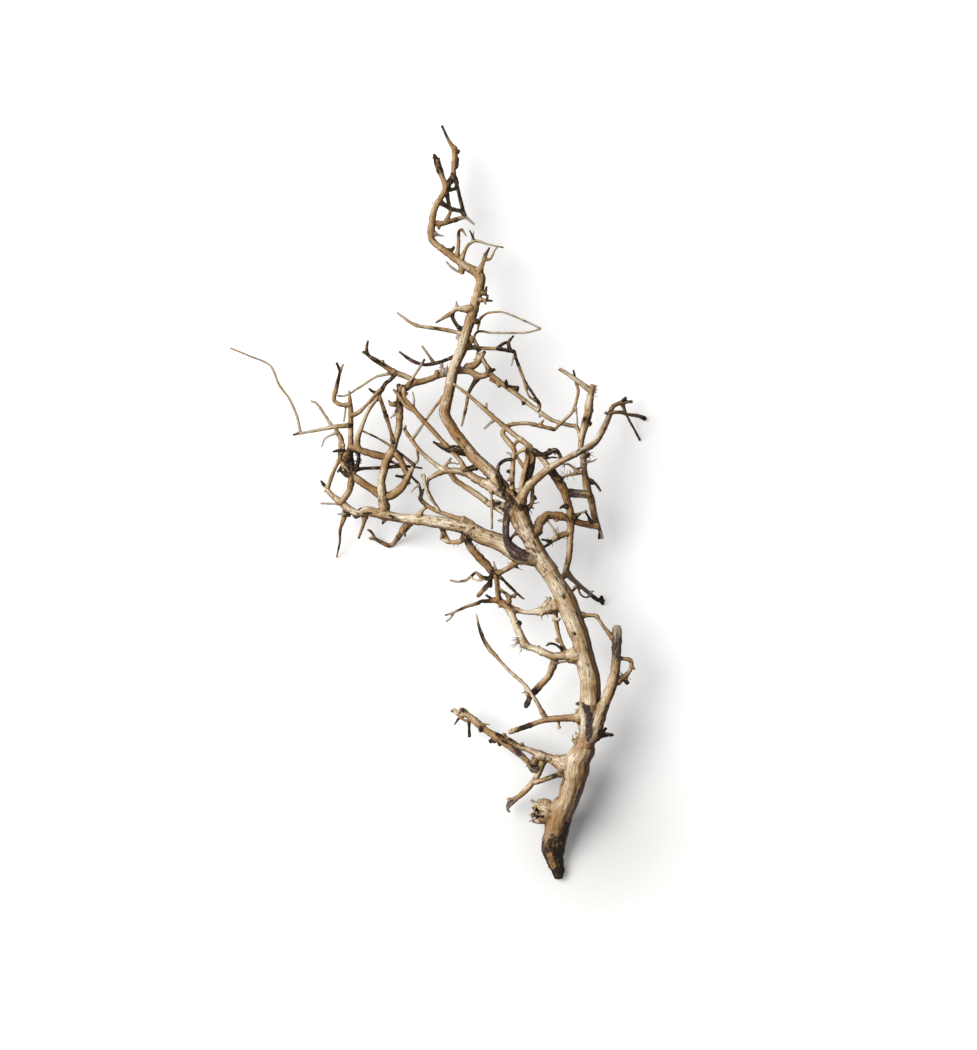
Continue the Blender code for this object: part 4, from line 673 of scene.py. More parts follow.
# The arch below the head, from the thin arm at its left to the tuft at its right.
arch_run = Limb((70, 66, 64, 62, 63, 65, 66, 66.5), (405, 389.5, 3), (412.1, 384.5, 3.2),
    (426.4, 380.9, 3), (440.7, 375.5, 3), (455, 371.5, 3.2), (469.5, 372.1, 3.2),
    (478.4, 376.6, 3.4), (484.6, 376.2, 3), (489.1, 374.5, 2.8), (493.6, 377.5, 2.6),
    tone="dark brown warm tan warm tan tan brown tan dark")
grown(
    "arch", "tan",
    arch_run,
    ((67, 69, 71, 73, 74), (416, 382, 2.6), (410.4, 379.1, 2.6), (404.1, 376.4, 2.8),
     (392.5, 371.5, 2.8), (387.1, 367.9, 2.6), (374.6, 359.9, 2.2), (368.8, 355.9, 1.8),
     (367.1, 350, 1.6), (368.4, 341.2, 1.2), "tan pale tan brown dark dark dark dark"),
    ((70, 68, 66, 64, 62), (394, 373, 1.6), (383.6, 375.5, 1.4), (376.4, 377.3, 1.3),
     (359.5, 388, 1.2), (350.5, 393.8, 1), (344.3, 396.5, 1), (337.5, 396, 0.8),
     "dark grey tan grey dark"),
    ((67, 66, 65, 64), (485.5, 376, 2.9), (489, 371.5, 2.4), (486.6, 366, 2.1), (481, 358, 2.6),
     (475.5, 356.3, 4.4), "brown dark brown tan pale"),
    ((64, 64), (480, 357.5, 2.2), (485.5, 351.6, 1.4), "brown"),
    ((63, 64, 65), (466.8, 367.7, 3.4), (473.9, 365.9, 3.6), (478.4, 361.4, 3.6), (480, 357, 3),
     "tan brown brown pale"),
    ((62, 63), (465, 371.5, 2.8), (466.8, 366, 3)),
    ((64, 67, 70, 73, 76), (478.6, 377.5, 2.4), (473.9, 383.8, 2), (468.5, 394, 1.8),
     (465.9, 408.8, 1.6), (461.6, 427, 1.2), "dark dark brown dark grey"),
    ((62, 64, 66), (399.2, 352.1, 1.1), (413, 361.7, 1.8), (426.4, 365.3, 1.8), (443, 362, 1.7),
     "dark purple dark"),
    ((65.5, 67, 67), (442, 362, 1.8), (450, 359, 1.7), (457, 356, 1.8), "dark"),
    ((66, 68), (434, 363.5, 1.6), (422, 346.1, 1.1), "dark grey"),
    ((65.8, 64, 62), (441.4, 363.6, 1.2), (442.6, 371, 1.6), (443, 375, 2), "ash"),
    ((70, 72.5, 73), (406.5, 388, 1.6), (411.5, 380.5, 1.5), (420.2, 367.5, 1.4),
     (425.1, 359.5, 1.2), "brown tan grey dark"),
    ((72, 72), (369.5, 356, 1.6), (366, 354, 1.5), (362.8, 352.2, 1.2), "dark"),
    ((64, 65), (443, 375, 1.8), (443.4, 369.3, 1.4), "ash"),
    ((64, 65), (446, 374, 1.8), (447.5, 367.6, 1.3), "grey"),
    ((64, 65), (437, 377, 2), (436.8, 370.4, 1.6), "brown"),
    ((66, 66), (487.5, 371.5, 1.8), (495.6, 369.9, 1.2), "dark"),
    ((71, 72), (383, 364, 2), (382.6, 360.8, 1.2)),
    ((63, 63), (462, 372, 2.4), (459, 367.5, 1.6), "brown"),
)

# The long thin arm to the right.
grown(
    "right_arm", "tan",
    Limb((68, 70, 70, 70, 69, 69, 70), (507.9, 388.2, 2.6), (515, 393.6, 2.4), (531.1, 406.1, 2.2),
        (544.5, 415.9, 2.2), (552.5, 420.8, 2.1), (569.5, 425.7, 2.1), (575.5, 426.5, 2.2),
        (578.5, 432, 2), (580, 440, 1.9), (580.5, 449, 2.2), follow=arch_run,
        tone="warm brown tan tan pale tan pale tan tan brown"),
    ((67.5, 67), (498, 381.5, 2), (499.2, 388, 1.4), "brown"),
    ((68.5, 68), (507, 387.5, 2.4), (518.6, 389.3, 2.5), "dark"),
    ((67, 66), (489, 380, 1.2), (493.6, 382, 1.3), (498.3, 385, 1.6), "brown"),
    ((69, 69), (505.8, 386.5, 1.6), (506.3, 379.8, 0.9), "dark"),
    ((70, 70), (523.5, 402.5, 2.2), (524.2, 405.2, 1.5), "dark"),
    ((70, 70), (541, 414, 1.4), (539, 418, 0.8), "grey"),
)

# The dark arm above it, which comes down to it from the leader.
grown(
    "dark_arm", "dark",
    ((78, 78, 77, 76, 74, 71.5), (497, 349.6, 1.9), (510, 351.4, 2), (514.1, 352.5, 1.8),
     (515.9, 358.8, 1.5), (523.9, 380.2, 1.7), (527.5, 386.4, 1.5), (536.4, 399.8, 1.4),
     (539.3, 405.5, 2), (538.4, 411, 1.7), "dark dark dark dark brown dark purple dark tan"),
    ((78, 78), (511, 351.5, 1.7), (508, 344, 1.5), (513.8, 336.1, 1.1)),
    ((76, 75.5), (523.5, 381, 1.4), (528.7, 396.3, 1), (537.5, 402.5, 1.3), "tan brown dark"),
    ((77, 77), (513.5, 357, 1.2), (512.8, 360.5, 1), (511.3, 367, 0.7), "grey"),
    ((78, 78), (508.5, 343.5, 1.4), (509.9, 347.3, 1)),
)

# The tangle of uprights between the crown and the slanting twigs above it.
grown(
    "uprights", "tan",
    Limb((86.3, 87, 88, 88, 88.5), (521.3, 486, 2.5), (522.5, 482, 2.6), (523.5, 476, 2.6),
        (525, 470, 2.6), (527.5, 458, 2.8), (527.5, 450, 2.8), follow=upright_base,
        tone="dark tan brown tan brown dark"),
    ((82, 85, 88), (526.5, 483, 2.6), (530.5, 470, 3.3), (532.5, 456, 3.5), (530, 448, 3),
     "dark dark dark brown dark"),
    ((85, 87, 87.5, 87.5, 88), (511, 497, 2), (512.2, 485, 2.3), (512.4, 472, 2.4),
     (513.3, 460, 2.2), (514.2, 449, 2.4), "brown tan dark tan tan brown tan brown"),
    ((88, 91, 91, 90, 88), (504.5, 494, 2.6), (502.5, 488, 2.3), (498, 475, 2.4), (498.5, 466, 1.9),
     (505, 460.5, 1.7), (513, 459.5, 1.8), "dark"),
    ((87, 88, 88), (513.5, 457, 1.6), (518.5, 452.5, 1.6), (528, 448.5, 2)),
    ((88.5, 90, 92, 92), (527, 446, 2.2), (535, 452.5, 3.4), (542, 455.5, 2.8), (549, 453, 2.4),
     (555, 450.6, 2.4), (559.3, 455, 1.8), (560.2, 459.5, 1.3), "brown dark dark dark dark"),
    ((92, 92), (549.5, 454, 1.8), (549, 448.8, 1.3), "dark"),
    ((89, 91, 93), (537, 454, 2.6), (543.5, 461, 2.2), (549, 469, 2.8)),
    ((77.5, 79, 81, 83, 85, 88), (450, 382, 1.2), (455.2, 385.5, 1.1), (467.7, 394.9, 1.8),
     (486.4, 411.4, 2.2), (506.1, 428.4, 2.5), (516, 436.5, 2.3), (530, 447, 2.8),
     "grey tan brown tan brown brown tan tan brown"),
    ((79.5, 79.5), (485.5, 411, 1.5), (486.8, 403, 1), "grey"),
    ((81, 81), (494.5, 419.8, 1.5), (483.8, 429.3, 1), "grey"),
    ((83, 82, 81, 80), (505, 428, 2.6), (512, 424.8, 2), (527.5, 423.9, 2), (549.8, 428.8, 2),
     (554.3, 430, 2), "dark brown tan brown brown dark"),
    ((81.5, 81), (538.5, 426.5, 1.4), (543.8, 420.2, 1), "brown"),
    ((84, 86, 88), (505, 428, 2.4), (502.5, 434, 2.4), (509.5, 443.5, 2.8), (514, 449, 2.8),
     "brown tan tan brown"),
    ((92, 92), (543, 456.5, 1.4), (546, 458.6, 1.1), (552, 457.6, 1), (556.5, 458.3, 1), "dark"),
    ((87, 87), (512.5, 472, 1.4), (506.3, 471.4, 1.4), "dark"),
    ((86, 87), (513.5, 452, 1.4), (518, 459, 1.5), (520.5, 463, 1.6), (523.5, 467, 1.8), "brown"),
    ((87, 87), (513, 446, 1.4), (518, 441.2, 1.3), (522.5, 440.8, 1.2), "brown"),
    ((88, 88), (512.5, 455.5, 1.2), (506.3, 452.6, 0.8), "grey"),
    ((87, 87), (512, 488.5, 1), (518.7, 489.6, 0.7), "grey"),
    ((88, 88), (510, 479, 1.6), (506.5, 481.5, 1), "brown"),
)

# The dark twig that hangs behind the tip of the post at the right.
grown(
    "hook_twig", "dark",
    ((72.5, 73, 75, 77, 79, 79.5), (573, 370.4, 1.1), (576.2, 384.6, 1.6), (578, 391.8, 1.6),
     (573, 410.5, 1.7), (563.2, 421.3, 1.8), (556.9, 427.2, 1.7), (553.8, 430.6, 1.5),
     "dark brown tan brown"),
    ((78, 74), (575.5, 408, 1.2), (576.6, 417, 0.9), (577, 426.5, 1), "grey"),
)

# The main limb to the right, over the post, and down to the ground at its far end.
grown(
    "right_limb", "tan",
    Limb((92, 94, 93, 92, 87, 78, 67, 55, 43, 34, 31), (531, 484, 4.2), (537, 478.5, 4),
        (551, 467.5, 3.5), (565, 459.5, 3.2), (578, 453, 3), (589, 447, 3.4), (595, 442.5, 3.4),
        (602, 431, 3.2), (607.5, 420, 2.8), (611.5, 409, 2.4), (614.5, 405.5, 2.2),
        (622.5, 402.5, 2.2), (632.5, 401.8, 1.4), follow=right_base,
        tone="brown tan brown tan tan tan pale tan pale pale tan tan tan warm brown purple"),
    ((34, 27, 17, 9, 1.0), (622, 402.5, 1.8), (624.5, 411, 1.4), (630, 422, 1.3), (634, 429, 1.2),
     (640, 440.5, 1.2), "brown brown purple dark"),
    ((50, 47, 40, 27, 13, 2.5), (604, 413, 1.4), (610, 413.4, 2), (615, 412.5, 1.8),
     (621, 412.5, 2), (626, 414.3, 1.7), (638, 416, 1.8), (645, 418.5, 2.3),
     "tan tan brown brown brown dark"),
    ((34, 34), (621.5, 402.4, 1.7), (626.2, 397.4, 1.2), "dark"),
    ((34, 31), (620, 402.6, 2.2), (623, 407, 1.8), (625, 412, 1.6), "brown"),
)

# The post at the right, below the main limb.
grown(
    "right_post", "tan",
    ((77, 76, 76, 75, 73.5, 71, 68, 64, 58, 50, 40, 36), (592.5, 385, 2.6), (591, 393, 3.2),
     (588.5, 406, 4), (588, 412, 3.8), (585, 424, 4), (581, 440, 3), (580.5, 448, 2.8),
     (582.5, 456, 3.1), (583.6, 468, 3), (587.2, 490, 3.8), (591, 500, 3.7), (592.8, 510, 3.5),
     (597, 525, 3), (600.5, 532, 1.4), (600.5, 539, 1.2),
     "brown tan tan dark tan tan pale tan brown tan tan brown tan brown purple"),
    ((81, 79, 77), (558.5, 369.2, 1.7), (568, 375, 2), (580, 383.5, 2.5), (590.5, 391.5, 3),
     "tan pale tan"),
    ((70, 69), (583, 457, 3), (588.5, 454.5, 2.4), "brown dark"),
    ((64, 61), (586, 480, 2.6), (595, 484, 1.4), (600.5, 491.5, 1.3), "dark"),
    ((40, 36), (600, 530, 1.6), (598.3, 539.3, 0.9), "dark"),
    ((40, 36), (600.4, 531, 1.5), (602.6, 538.8, 0.9), "grey"),
    ((70, 70), (587, 462, 1.4), (592, 461.5, 1), (597, 458.8, 0.7), "grey"),
    ((76, 76), (587, 423, 2), (591.2, 425.2, 1.4), "dark"),
    ((76, 76), (589, 411, 2.4), (592.6, 412.3, 1.3), "dark"),
)

# The second limb to the right, from under the main one, down to the ground at its black stub.
# The numbers that set the grain go on after a gap of one here.
Limb.count += 1
grown(
    "second_limb", "tan",
    Limb((86, 79, 73, 69, 65, 62, 58, 55), (549, 469, 4.6), (556, 478, 4.6), (560, 484, 4.5),
        (563.5, 490, 4.3), (566.5, 500, 4), (569.7, 510, 3.7), (570.5, 520, 3.8), (569.8, 540, 3.2),
        (569, 555, 3.2), (567.5, 563, 3), tone="dark dark brown warm brown warm tan tan brown"),
    Limb((55, 49, 40, 28, 13, 3), (567.5, 562, 3), (566, 570, 3.2), (568.5, 575, 3.2),
        (574.5, 580.8, 2.4), (583.5, 588.5, 2), (589, 593, 2), (597, 599.5, 2), (603, 600.8, 2.4),
        tone="pale pale tan pale tan brown dark dark"),
    Limb((5, 6), (601.5, 600, 1.6), (601.6, 595.5, 1), tone="dark"),
    Limb((36, 35), (571.5, 592, 1.4), (576.6, 585.8, 1.5), tone="dark brown"),
    Limb((34, 30, 25, 18), (578.6, 585.6, 1.2), (579.2, 592, 1.1), (583.2, 596.6, 1.1),
        (587, 597.2, 1), (591, 594.6, 1.3), tone="dark brown brown dark"),
    Limb((70, 69, 66), (564.5, 492, 4), (567, 492.8, 4.4), (575, 493.5, 4.3), (583, 494, 4.3),
        (589, 494.5, 4.4), tone="dark purple brown"),
    Limb((74, 69, 66, 64, 60, 55, 52), (538.5, 524, 4.4), (543, 518.5, 4.4), (547, 515.5, 4.2),
        (559, 516, 4.1), (570, 519, 3.7), (580, 523, 3.4), (590, 525, 3.4), (598, 526.5, 3.2),
        follow=cross_base, tone="brown brown warm warm brown warm warm tan"),
    ((66, 63, 60), (566, 518, 2), (575, 515, 1.6), (587, 510.5, 1.1), "tan tan grey grey"),
    ((62, 66, 70), (569.5, 533, 3), (562, 535, 2.9), (557, 537, 3.4), (550, 542.5, 1.8),
     "brown brown tan tan"),
    ((70, 75), (551, 542, 1.8), (547, 545, 1.3), (542, 548, 1.3), "dark"),
    ((61, 56.5), (585, 512, 1.1), (588, 516.5, 1.3), (590.5, 522, 1.8), "dark"),
    ((68, 67), (556, 517, 2.4), (556.3, 521.3, 1.3), "brown"),
    ((66, 65), (573, 518, 2), (580.5, 513.6, 1.1), "dark"),
    ((71, 75), (551, 541.5, 1.5), (541, 539.3, 1), "dark"),
    ((73, 73), (548, 521.5, 0.9), (551, 526, 1), (554, 530, 1.1), (556.5, 535, 1.2)),
    ((72, 73), (566, 506, 2), (561.5, 506.8, 1.3), (559.3, 509, 0.9), "dark"),
    ((50, 49), (567.5, 572, 3.4), (562, 577.5, 3.2), "brown"),
    ((21, 22), (587.8, 592, 1.4), (590, 592.2, 1.1), (594, 590.8, 0.8), "grey"),
    ((4, 2), (602, 601.5, 2), (602.6, 604.2, 1.1), "dark"),
    ((79, 80), (564, 464.5, 1), (568, 464.5, 1.1), (572, 467, 1.3), (577, 471.5, 2),
     (581.5, 473.5, 2), "brown"),
    ((76, 77), (580, 473, 2), (570, 475, 1.5), (564, 477, 1.1), (560.5, 480, 1.4), "brown"),
    ((78, 78), (575, 470, 1.2), (581, 467.8, 1), "dark"),
)


# Each piece's torn fibres, which are thin limbs.
HAIRS = {}

# Stripes on the wood in plan: a kind, the two ends, the half width and the strength.
PATCHES = {
    "trunk_base": (
        ("dark", 562, 838, 551, 842, 5, 0.9), ("dark", 561, 848, 550, 849, 5, 1.0),
        ("dark", 561, 856, 561, 874, 4.6, 1.0), ("dark", 553, 873, 562, 878, 4, 1.0),
        ("purple", 548, 832, 555, 836, 2.4, 0.8), ("purple", 545.5, 833, 545.5, 849, 2.2, 0.6),
        ("dark", 566, 772, 571, 792, 2.4, 0.42), ("warm", 549.5, 855, 552.5, 866, 2.1, 0.9),
        ("warm", 553, 818, 560, 780, 6, 0.6), ("warm", 574, 765, 586, 735, 6, 0.5),
        ("dark", 552, 858, 553, 862, 0.6, 0.8), ("warm", 554, 818, 549, 827, 4.6, 0.9),
        ("purple", 573, 803, 568, 820, 1.6, 0.7), ("dark", 566, 824, 562, 840, 3.6, 1.0),
        ("purple", 580, 788, 575, 800, 1.8, 0.9), ("dark", 562, 786, 565, 770, 1.6, 0.7),
        ("dark", 567, 764, 563, 771, 2.0, 0.7), ("warm", 578, 746, 590, 738, 6, 1.0),
        ("purple", 585, 703, 589, 716, 4.4, 1.0), ("purple", 589, 716, 589.5, 737, 4.4, 1.0),
        ("pale", 587, 752, 600, 726, 2.5, 0.9), ("dark", 536.5, 810.5, 542, 816.5, 2.4, 0.9),
        ("hole", 537, 809.5, 543, 811, 1.1, 0.9), ("hole", 536, 816.5, 543.5, 816, 1.2, 1.0),
        ("warm", 547, 815, 550, 820, 2.2, 0.8), ("hole", 549.5, 810.5, 550, 811, 1.3, 0.9),
        ("hole", 557, 795, 556.5, 799, 0.9, 0.7), ("dark", 573, 790, 578, 765, 1.6, 0.5),
        # The dark stripes from (611, 700) down to (594, 764), along the right edge of the prong's foot
        # and of the trunk, are painted shade.
        ("dark", 611, 700, 604, 718, 3.8, 1.0), ("dark", 604, 718, 599, 742, 4.0, 1.0),
        ("pale", 607, 706, 600, 728, 0.8, 0.9), ("dark", 599, 742, 594, 764, 2.6, 0.9),
    ),
    "prong": (
        ("dark", 613, 702, 615, 688, 2.2, 0.9), ("dark", 618, 676, 620, 668, 2.2, 0.6),
        ("dark", 617, 646, 617, 655, 4, 0.9), ("grey", 616, 627, 616, 640, 1.6, 0.35),
        ("dark", 616.8, 629, 616.6, 642, 1.1, 0.6), ("dark", 613, 628, 612, 642, 1.2, 0.7),
        ("hole", 617.5, 633, 617, 641, 0.8, 0.8),
    ),
    "trunk_middle": (
        ("hole", 563.5, 596, 564, 597, 2.2, 1.0), ("dark", 563, 600, 566, 606, 1.2, 0.6),
        ("hole", 574, 633.5, 574.3, 634, 1.7, 1.0), ("dark", 596, 664, 598, 690, 1.6, 0.5),
        ("hole", 566, 586, 567, 590, 0.8, 0.6),
    ),
    "crown": (
        ("hole", 540, 552, 536, 551, 1.6, 0.8), ("hole", 545, 571, 545, 572, 1.4, 0.7),
        ("dark", 500, 490, 521, 508, 4.0, 0.9), ("pale", 509, 491, 519, 503, 0.5, 0.6),
        ("purple", 512, 551, 521, 557.5, 2.2, 0.95), ("purple", 522, 558, 526, 555, 1.5, 0.8),
        ("hole", 531.5, 549, 535.5, 552.5, 1.0, 0.9), ("dark", 528, 516, 524, 508, 3.2, 0.8),
        ("dark", 533, 541, 537, 549, 1.1, 0.8), ("hole", 491.5, 535, 493, 536, 1.0, 0.9),
        ("dark", 536, 527, 540, 540, 1.8, 0.5), ("dark", 513, 553, 510, 549, 1.6, 0.8),
        ("hole", 521, 538, 524, 543, 0.9, 0.7),
    ),
    "left_limb": (
        ("hole", 454, 526, 451, 525.5, 1.2, 0.9), ("hole", 465, 528, 461, 527.5, 1.2, 0.9),
        ("hole", 440.5, 520, 438, 519.5, 0.9, 0.9), ("dark", 470, 532, 469, 541, 3.0, 0.8),
        ("dark", 470, 531, 474, 528, 1.4, 0.8), ("dark", 462, 533, 472, 539, 2.6, 0.8),
    ),
    "left_post": (
        ("dark", 341, 455, 350, 468, 3.6, 0.7), ("dark", 344, 470, 352, 476, 2.4, 0.8),
        ("pale", 354, 473.5, 370, 484, 1.2, 0.9),
    ),
    "low_limb": (
        ("dark", 498, 734, 506, 741, 3.0, 0.9), ("dark", 510, 742, 525, 745.5, 1.1, 0.8),
        ("purple", 512, 748, 520, 754, 2.0, 0.9), ("dark", 529, 763, 537, 767, 3.2, 0.9),
        ("hole", 543, 748.5, 544, 749, 0.8, 0.8), ("dark", 530, 745, 540, 751, 1.0, 0.7),
        ("dark", 551, 759, 560, 765, 1.6, 0.8), ("dark", 540, 779, 556, 775, 1.2, 0.7),
    ),
    "side_limb": (
        ("warm", 496, 600, 509, 606, 4.0, 0.9), ("dark", 506, 603, 517, 611, 1.4, 0.8),
        ("dark", 514, 612, 520, 622, 1.2, 0.7), ("dark", 521, 628, 529, 643, 1.2, 0.7),
        ("dark", 548, 604, 552, 610, 2.0, 0.6),
    ),
    "left_end": (
        ("dark", 390, 516, 395, 517.5, 1.6, 0.9), ("warm", 362, 513, 376, 509.5, 2.4, 0.9),
        ("dark", 364, 513.5, 372, 513, 1.2, 0.9), ("warm", 380, 518, 400, 521, 1.8, 0.8),
        ("dark", 392, 517.5, 398, 518.5, 1.0, 0.9), ("pale", 374, 507.5, 420, 516, 2.2, 0.9),
        ("dark", 378, 541, 380, 543, 0.7, 0.9), ("dark", 388, 545, 390.5, 547, 1.1, 0.9),
        ("dark", 396.5, 536, 400, 540, 0.9, 0.8), ("dark", 404, 531, 408, 528, 0.9, 0.8),
        ("dark", 319, 477, 324.5, 485, 1.8, 1.0), ("hole", 358, 513.5, 359, 514, 1.2, 0.9),
    ),
    "leader_low": (
        ("dark", 443, 420, 458, 439, 2.2, 0.65), ("warm", 444, 410, 458, 434, 4.5, 0.9),
        ("dark", 458, 439, 470, 455, 1.6, 0.6), ("dark", 485, 474, 497, 490, 2.4, 0.8),
        ("pale", 470, 448, 490, 466, 3.0, 0.9),
    ),
    "leader_mid": (
        ("dark", 476, 300, 472, 316, 1.5, 0.5), ("hole", 474, 283, 474.4, 284, 1.0, 0.9),
        ("dark", 468, 348, 470, 343, 2.0, 0.8), ("warm", 474, 300, 470, 320, 2.5, 0.6),
    ),
    "tan_limb": (
        ("dark", 474, 482, 479, 484, 1.2, 0.6), ("warm", 444, 443, 412, 408, 3.0, 0.8),
        ("warm", 423, 454, 408, 434, 2.5, 0.7), ("dark", 436, 476, 447, 473, 1.0, 0.6),
    ),
    "limb_b": (
        ("dark", 397, 388, 397, 412, 2.0, 0.9), ("hole", 379.5, 501, 381, 502.5, 1.0, 0.8),
        ("dark", 397, 420, 396.5, 430, 1.2, 0.5),
    ),
    "right_limb": (
        ("dark", 578, 451, 584, 452, 2.2, 0.8), ("dark", 607, 414, 611, 411, 1.8, 0.7),
        ("dark", 536, 483, 548, 475, 1.5, 0.5),
    ),
    "right_post": (
        ("dark", 583, 440, 584, 449, 2.2, 0.7), ("dark", 590, 423, 591, 427, 1.5, 0.9),
        ("dark", 587, 485, 588, 492, 1.6, 0.6), ("dark", 592, 388, 596, 394, 2.2, 0.6),
    ),
    "second_limb": (
        ("dark", 553, 473, 560, 481, 3.0, 0.8), ("dark", 567, 517, 573, 521, 3.0, 0.8),
        ("dark", 594, 598, 604, 601, 4.0, 1.0), ("pale", 570, 577, 589, 593, 3.5, 1.0),
        ("grey", 570, 577, 589, 593, 3.5, 0.35), ("hole", 558, 536, 558.5, 538, 1.2, 0.8),
    ),
    "arch": (
        ("dark", 399, 388, 404, 392, 2.2, 0.8), ("warm", 455, 372, 441, 376, 3.0, 0.7),
        ("hole", 474, 357, 473, 358, 1.2, 0.7), ("pale", 470, 359, 478, 355, 3.5, 0.9),
    ),
}

# The channels that a mesh carries its finish in, and the one that each kind of stripe goes to.
BARK, WARM, PALE, GREY, HOLE = range(5)
PATCH_CHANNEL = {
    "dark": BARK, "purple": BARK, "warm": WARM, "pale": PALE, "grey": GREY, "hole": HOLE
}

# Tufts of torn fibres: the piece, the place in plan, how far they scatter, how many there are,
# their length, radius and tone, and the seed of their scatter.
TUFTS = (
    ("trunk_base", 537, 803, 2.0, 5, 4.0, 0.6, "ash", 1),
    ("trunk_base", 535, 817, 3.0, 12, 4.0, 0.6, "grey", 2),
    ("trunk_base", 534, 811, 2.0, 8, 4.0, 0.6, "brown", 3),
    ("trunk_base", 577, 739, 2.0, 6, 6.0, 0.6, "pale", 4),
    ("side_limb", 547, 601, 3.0, 12, 3.6, 0.7, "pale", 5),
    ("side_limb", 547, 614, 3.4, 10, 4.0, 0.6, "tan", 6),
    ("side_limb", 515, 640, 2.8, 16, 7.0, 0.45, "ash", 7),
    ("side_limb", 520, 648, 2.6, 8, 6.0, 0.45, "ash", 8),
    ("side_limb", 526, 693, 1.8, 5, 4.0, 0.45, "tan", 9),
    ("arch", 440, 371, 2.0, 5, 3.0, 0.45, "brown", 10),
    ("arch", 447, 369, 1.6, 4, 3.0, 0.45, "grey", 11),
    ("arch", 477, 362, 1.4, 6, 2.4, 0.55, "pale", 12),
    ("right_post", 594.5, 391, 2.2, 26, 2.8, 0.5, "grey", 13),
    ("right_post", 590, 456, 1.4, 6, 5.0, 0.45, "brown", 14),
    ("right_post", 594, 388, 1.2, 7, 3.0, 0.4, "brown", 15),
    ("spray", 515, 566, 2.6, 8, 5.0, 0.5, "tan", 16),
    ("spray", 480, 546, 2.4, 7, 6.0, 0.4, "grey", 17),
    ("second_limb", 563, 470, 3.4, 10, 6.5, 0.4, "grey", 18),
    ("second_limb", 570, 474, 2.8, 6, 5.0, 0.4, "tan", 19),
    ("second_limb", 551, 540, 2.4, 6, 3.6, 0.5, "tan", 20),
    ("second_limb", 556, 535, 2.4, 6, 5.0, 0.5, "brown", 21),
    ("crown", 531, 508, 2.0, 7, 6.0, 0.6, "dark", 22),
    ("uprights", 553, 452, 1.8, 5, 4.0, 0.5, "dark", 23),
    ("leader_top", 438, 205, 2.0, 4, 4.0, 0.4, "grey", 24),
    ("left_limb", 456, 541, 2.4, 5, 5.0, 0.4, "grey", 25),
    ("low_limb", 533, 766, 2.4, 6, 4.0, 0.5, "tan", 26),
    ("left_end", 391, 517, 2.0, 4, 4.0, 0.4, "dark", 28),
    ("left_post", 347, 458, 2.4, 6, 4.0, 0.45, "dark", 29),
    ("left_post", 360, 459, 2.4, 12, 2.6, 0.6, "dark", 31),
    ("prong", 622, 676, 2.2, 6, 5.0, 0.5, "brown", 30),
)


def gathered(limbs, field):
    """One value for every sample of the limbs, in one array."""
    return np.concatenate([getattr(limb, field) for limb in limbs])


def shreds(name, x, y, spread, count, length, girth, tone, seed):
    """A tuft of torn fibres that grows out of the wood nearest to a place."""
    chance = np.random.default_rng(seed)
    centres = gathered(PIECES[name], "spots")
    radii = gathered(PIECES[name], "radius")
    tuft = []
    for _ in range(count):
        aim = np.array([x - X_MID, Y_MID - y]) + chance.normal(0.0, spread, 2)
        apart = np.linalg.norm(centres[:, :2] - aim, axis=1) - 0.6 * radii
        host = int(apart.argmin())
        out = aim - centres[host, :2]
        out = out / max(np.linalg.norm(out), 0.1) + chance.normal(0.0, 0.35, 2)
        rise = chance.uniform(-0.1, 0.9)
        way = np.array([out[0], out[1], rise])
        way = way / np.linalg.norm(way)
        reach = length * chance.uniform(0.5, 1.3)
        bend = chance.normal(0.0, 0.25, 3) * reach
        skin = centres[host] + way * radii[host] * 0.7
        foot = centres[host] + way * radii[host] * 0.1
        middle = skin + way * reach * 0.55 + 0.3 * bend
        tip = skin + way * reach + bend
        rows = [
            (X_MID + spot[0], Y_MID - spot[1], girth * share)
            for spot, share in ((foot, 1.0), (middle, 0.75), (tip, 0.3))
        ]
        tuft.append(Limb((foot[2], middle[2], tip[2]), *rows, tone=tone, knots=0.0))
    HAIRS[name] = HAIRS.get(name, ()) + tuple(tuft)


def meets(end, gap, own, host):
    """Whether a foot or a tip comes near enough to wood that is thick enough to carry it."""
    most = 0.9 * own + 0.8 if end == 0 else 1.2 if own > 2.2 else 0.3
    return gap <= most and host >= 0.75 * own


def joined(limbs):
    """Runs each limb's free ends on into the wood they touch, with a collar there."""
    centres = gathered(limbs, "spots")
    radii = gathered(limbs, "radius")
    owner = np.concatenate([limb.each(limb.number) for limb in limbs])
    made = []
    for limb in limbs:
        spots, radius = limb.spots, limb.radius
        for end in (0, -1):
            if (end == 0 and limb.follows) or (end == -1 and limb.carry is not None):
                continue
            own = limb.radius[end]
            apart = np.linalg.norm(centres - limb.spots[end], axis=1) - radii
            apart[owner == limb.number] = np.inf
            host = int(apart.argmin())
            gap = apart[host]
            if not meets(end, gap, own, radii[host]):
                continue
            way = centres[host] - limb.spots[end]
            steps = int(np.linalg.norm(way) / JOINT_STEP)
            if steps > 0 and gap > -0.7 * radii[host]:
                share = np.arange(1, steps + 1)[:, None] / steps
                more = limb.spots[end] + way * share
                girth = np.full(steps, min(own, 0.8 * radii[host]))
                if end == 0:
                    spots, radius = np.vstack([more[::-1], spots]), np.concatenate([girth, radius])
                else:
                    spots, radius = np.vstack([spots, more]), np.concatenate([radius, girth])
            near = owner == owner[host]
            body, shell = centres[near], radii[near]
            lift = np.array(
                [(np.linalg.norm(body - spot, axis=1) - shell).min() for spot in spots]
            )
            lengths = np.linalg.norm(np.diff(spots, axis=0), axis=1)
            along = np.concatenate([[0.0], np.cumsum(lengths)])
            if end == -1:
                along = along[-1] - along
            clear = along[lift > 0.0]
            edge = clear.min() if len(clear) else 0.0
            grow = 0.55 * own * np.exp(-np.abs(along - edge) / (0.8 * own + 0.3))
            radius = np.maximum(radius, np.minimum(radius + grow, 0.85 * radii[host]))
        made.append((spots, radius))
    for limb, (spots, radius) in zip(limbs, made):
        limb.settle(spots)
        limb.radius = radius


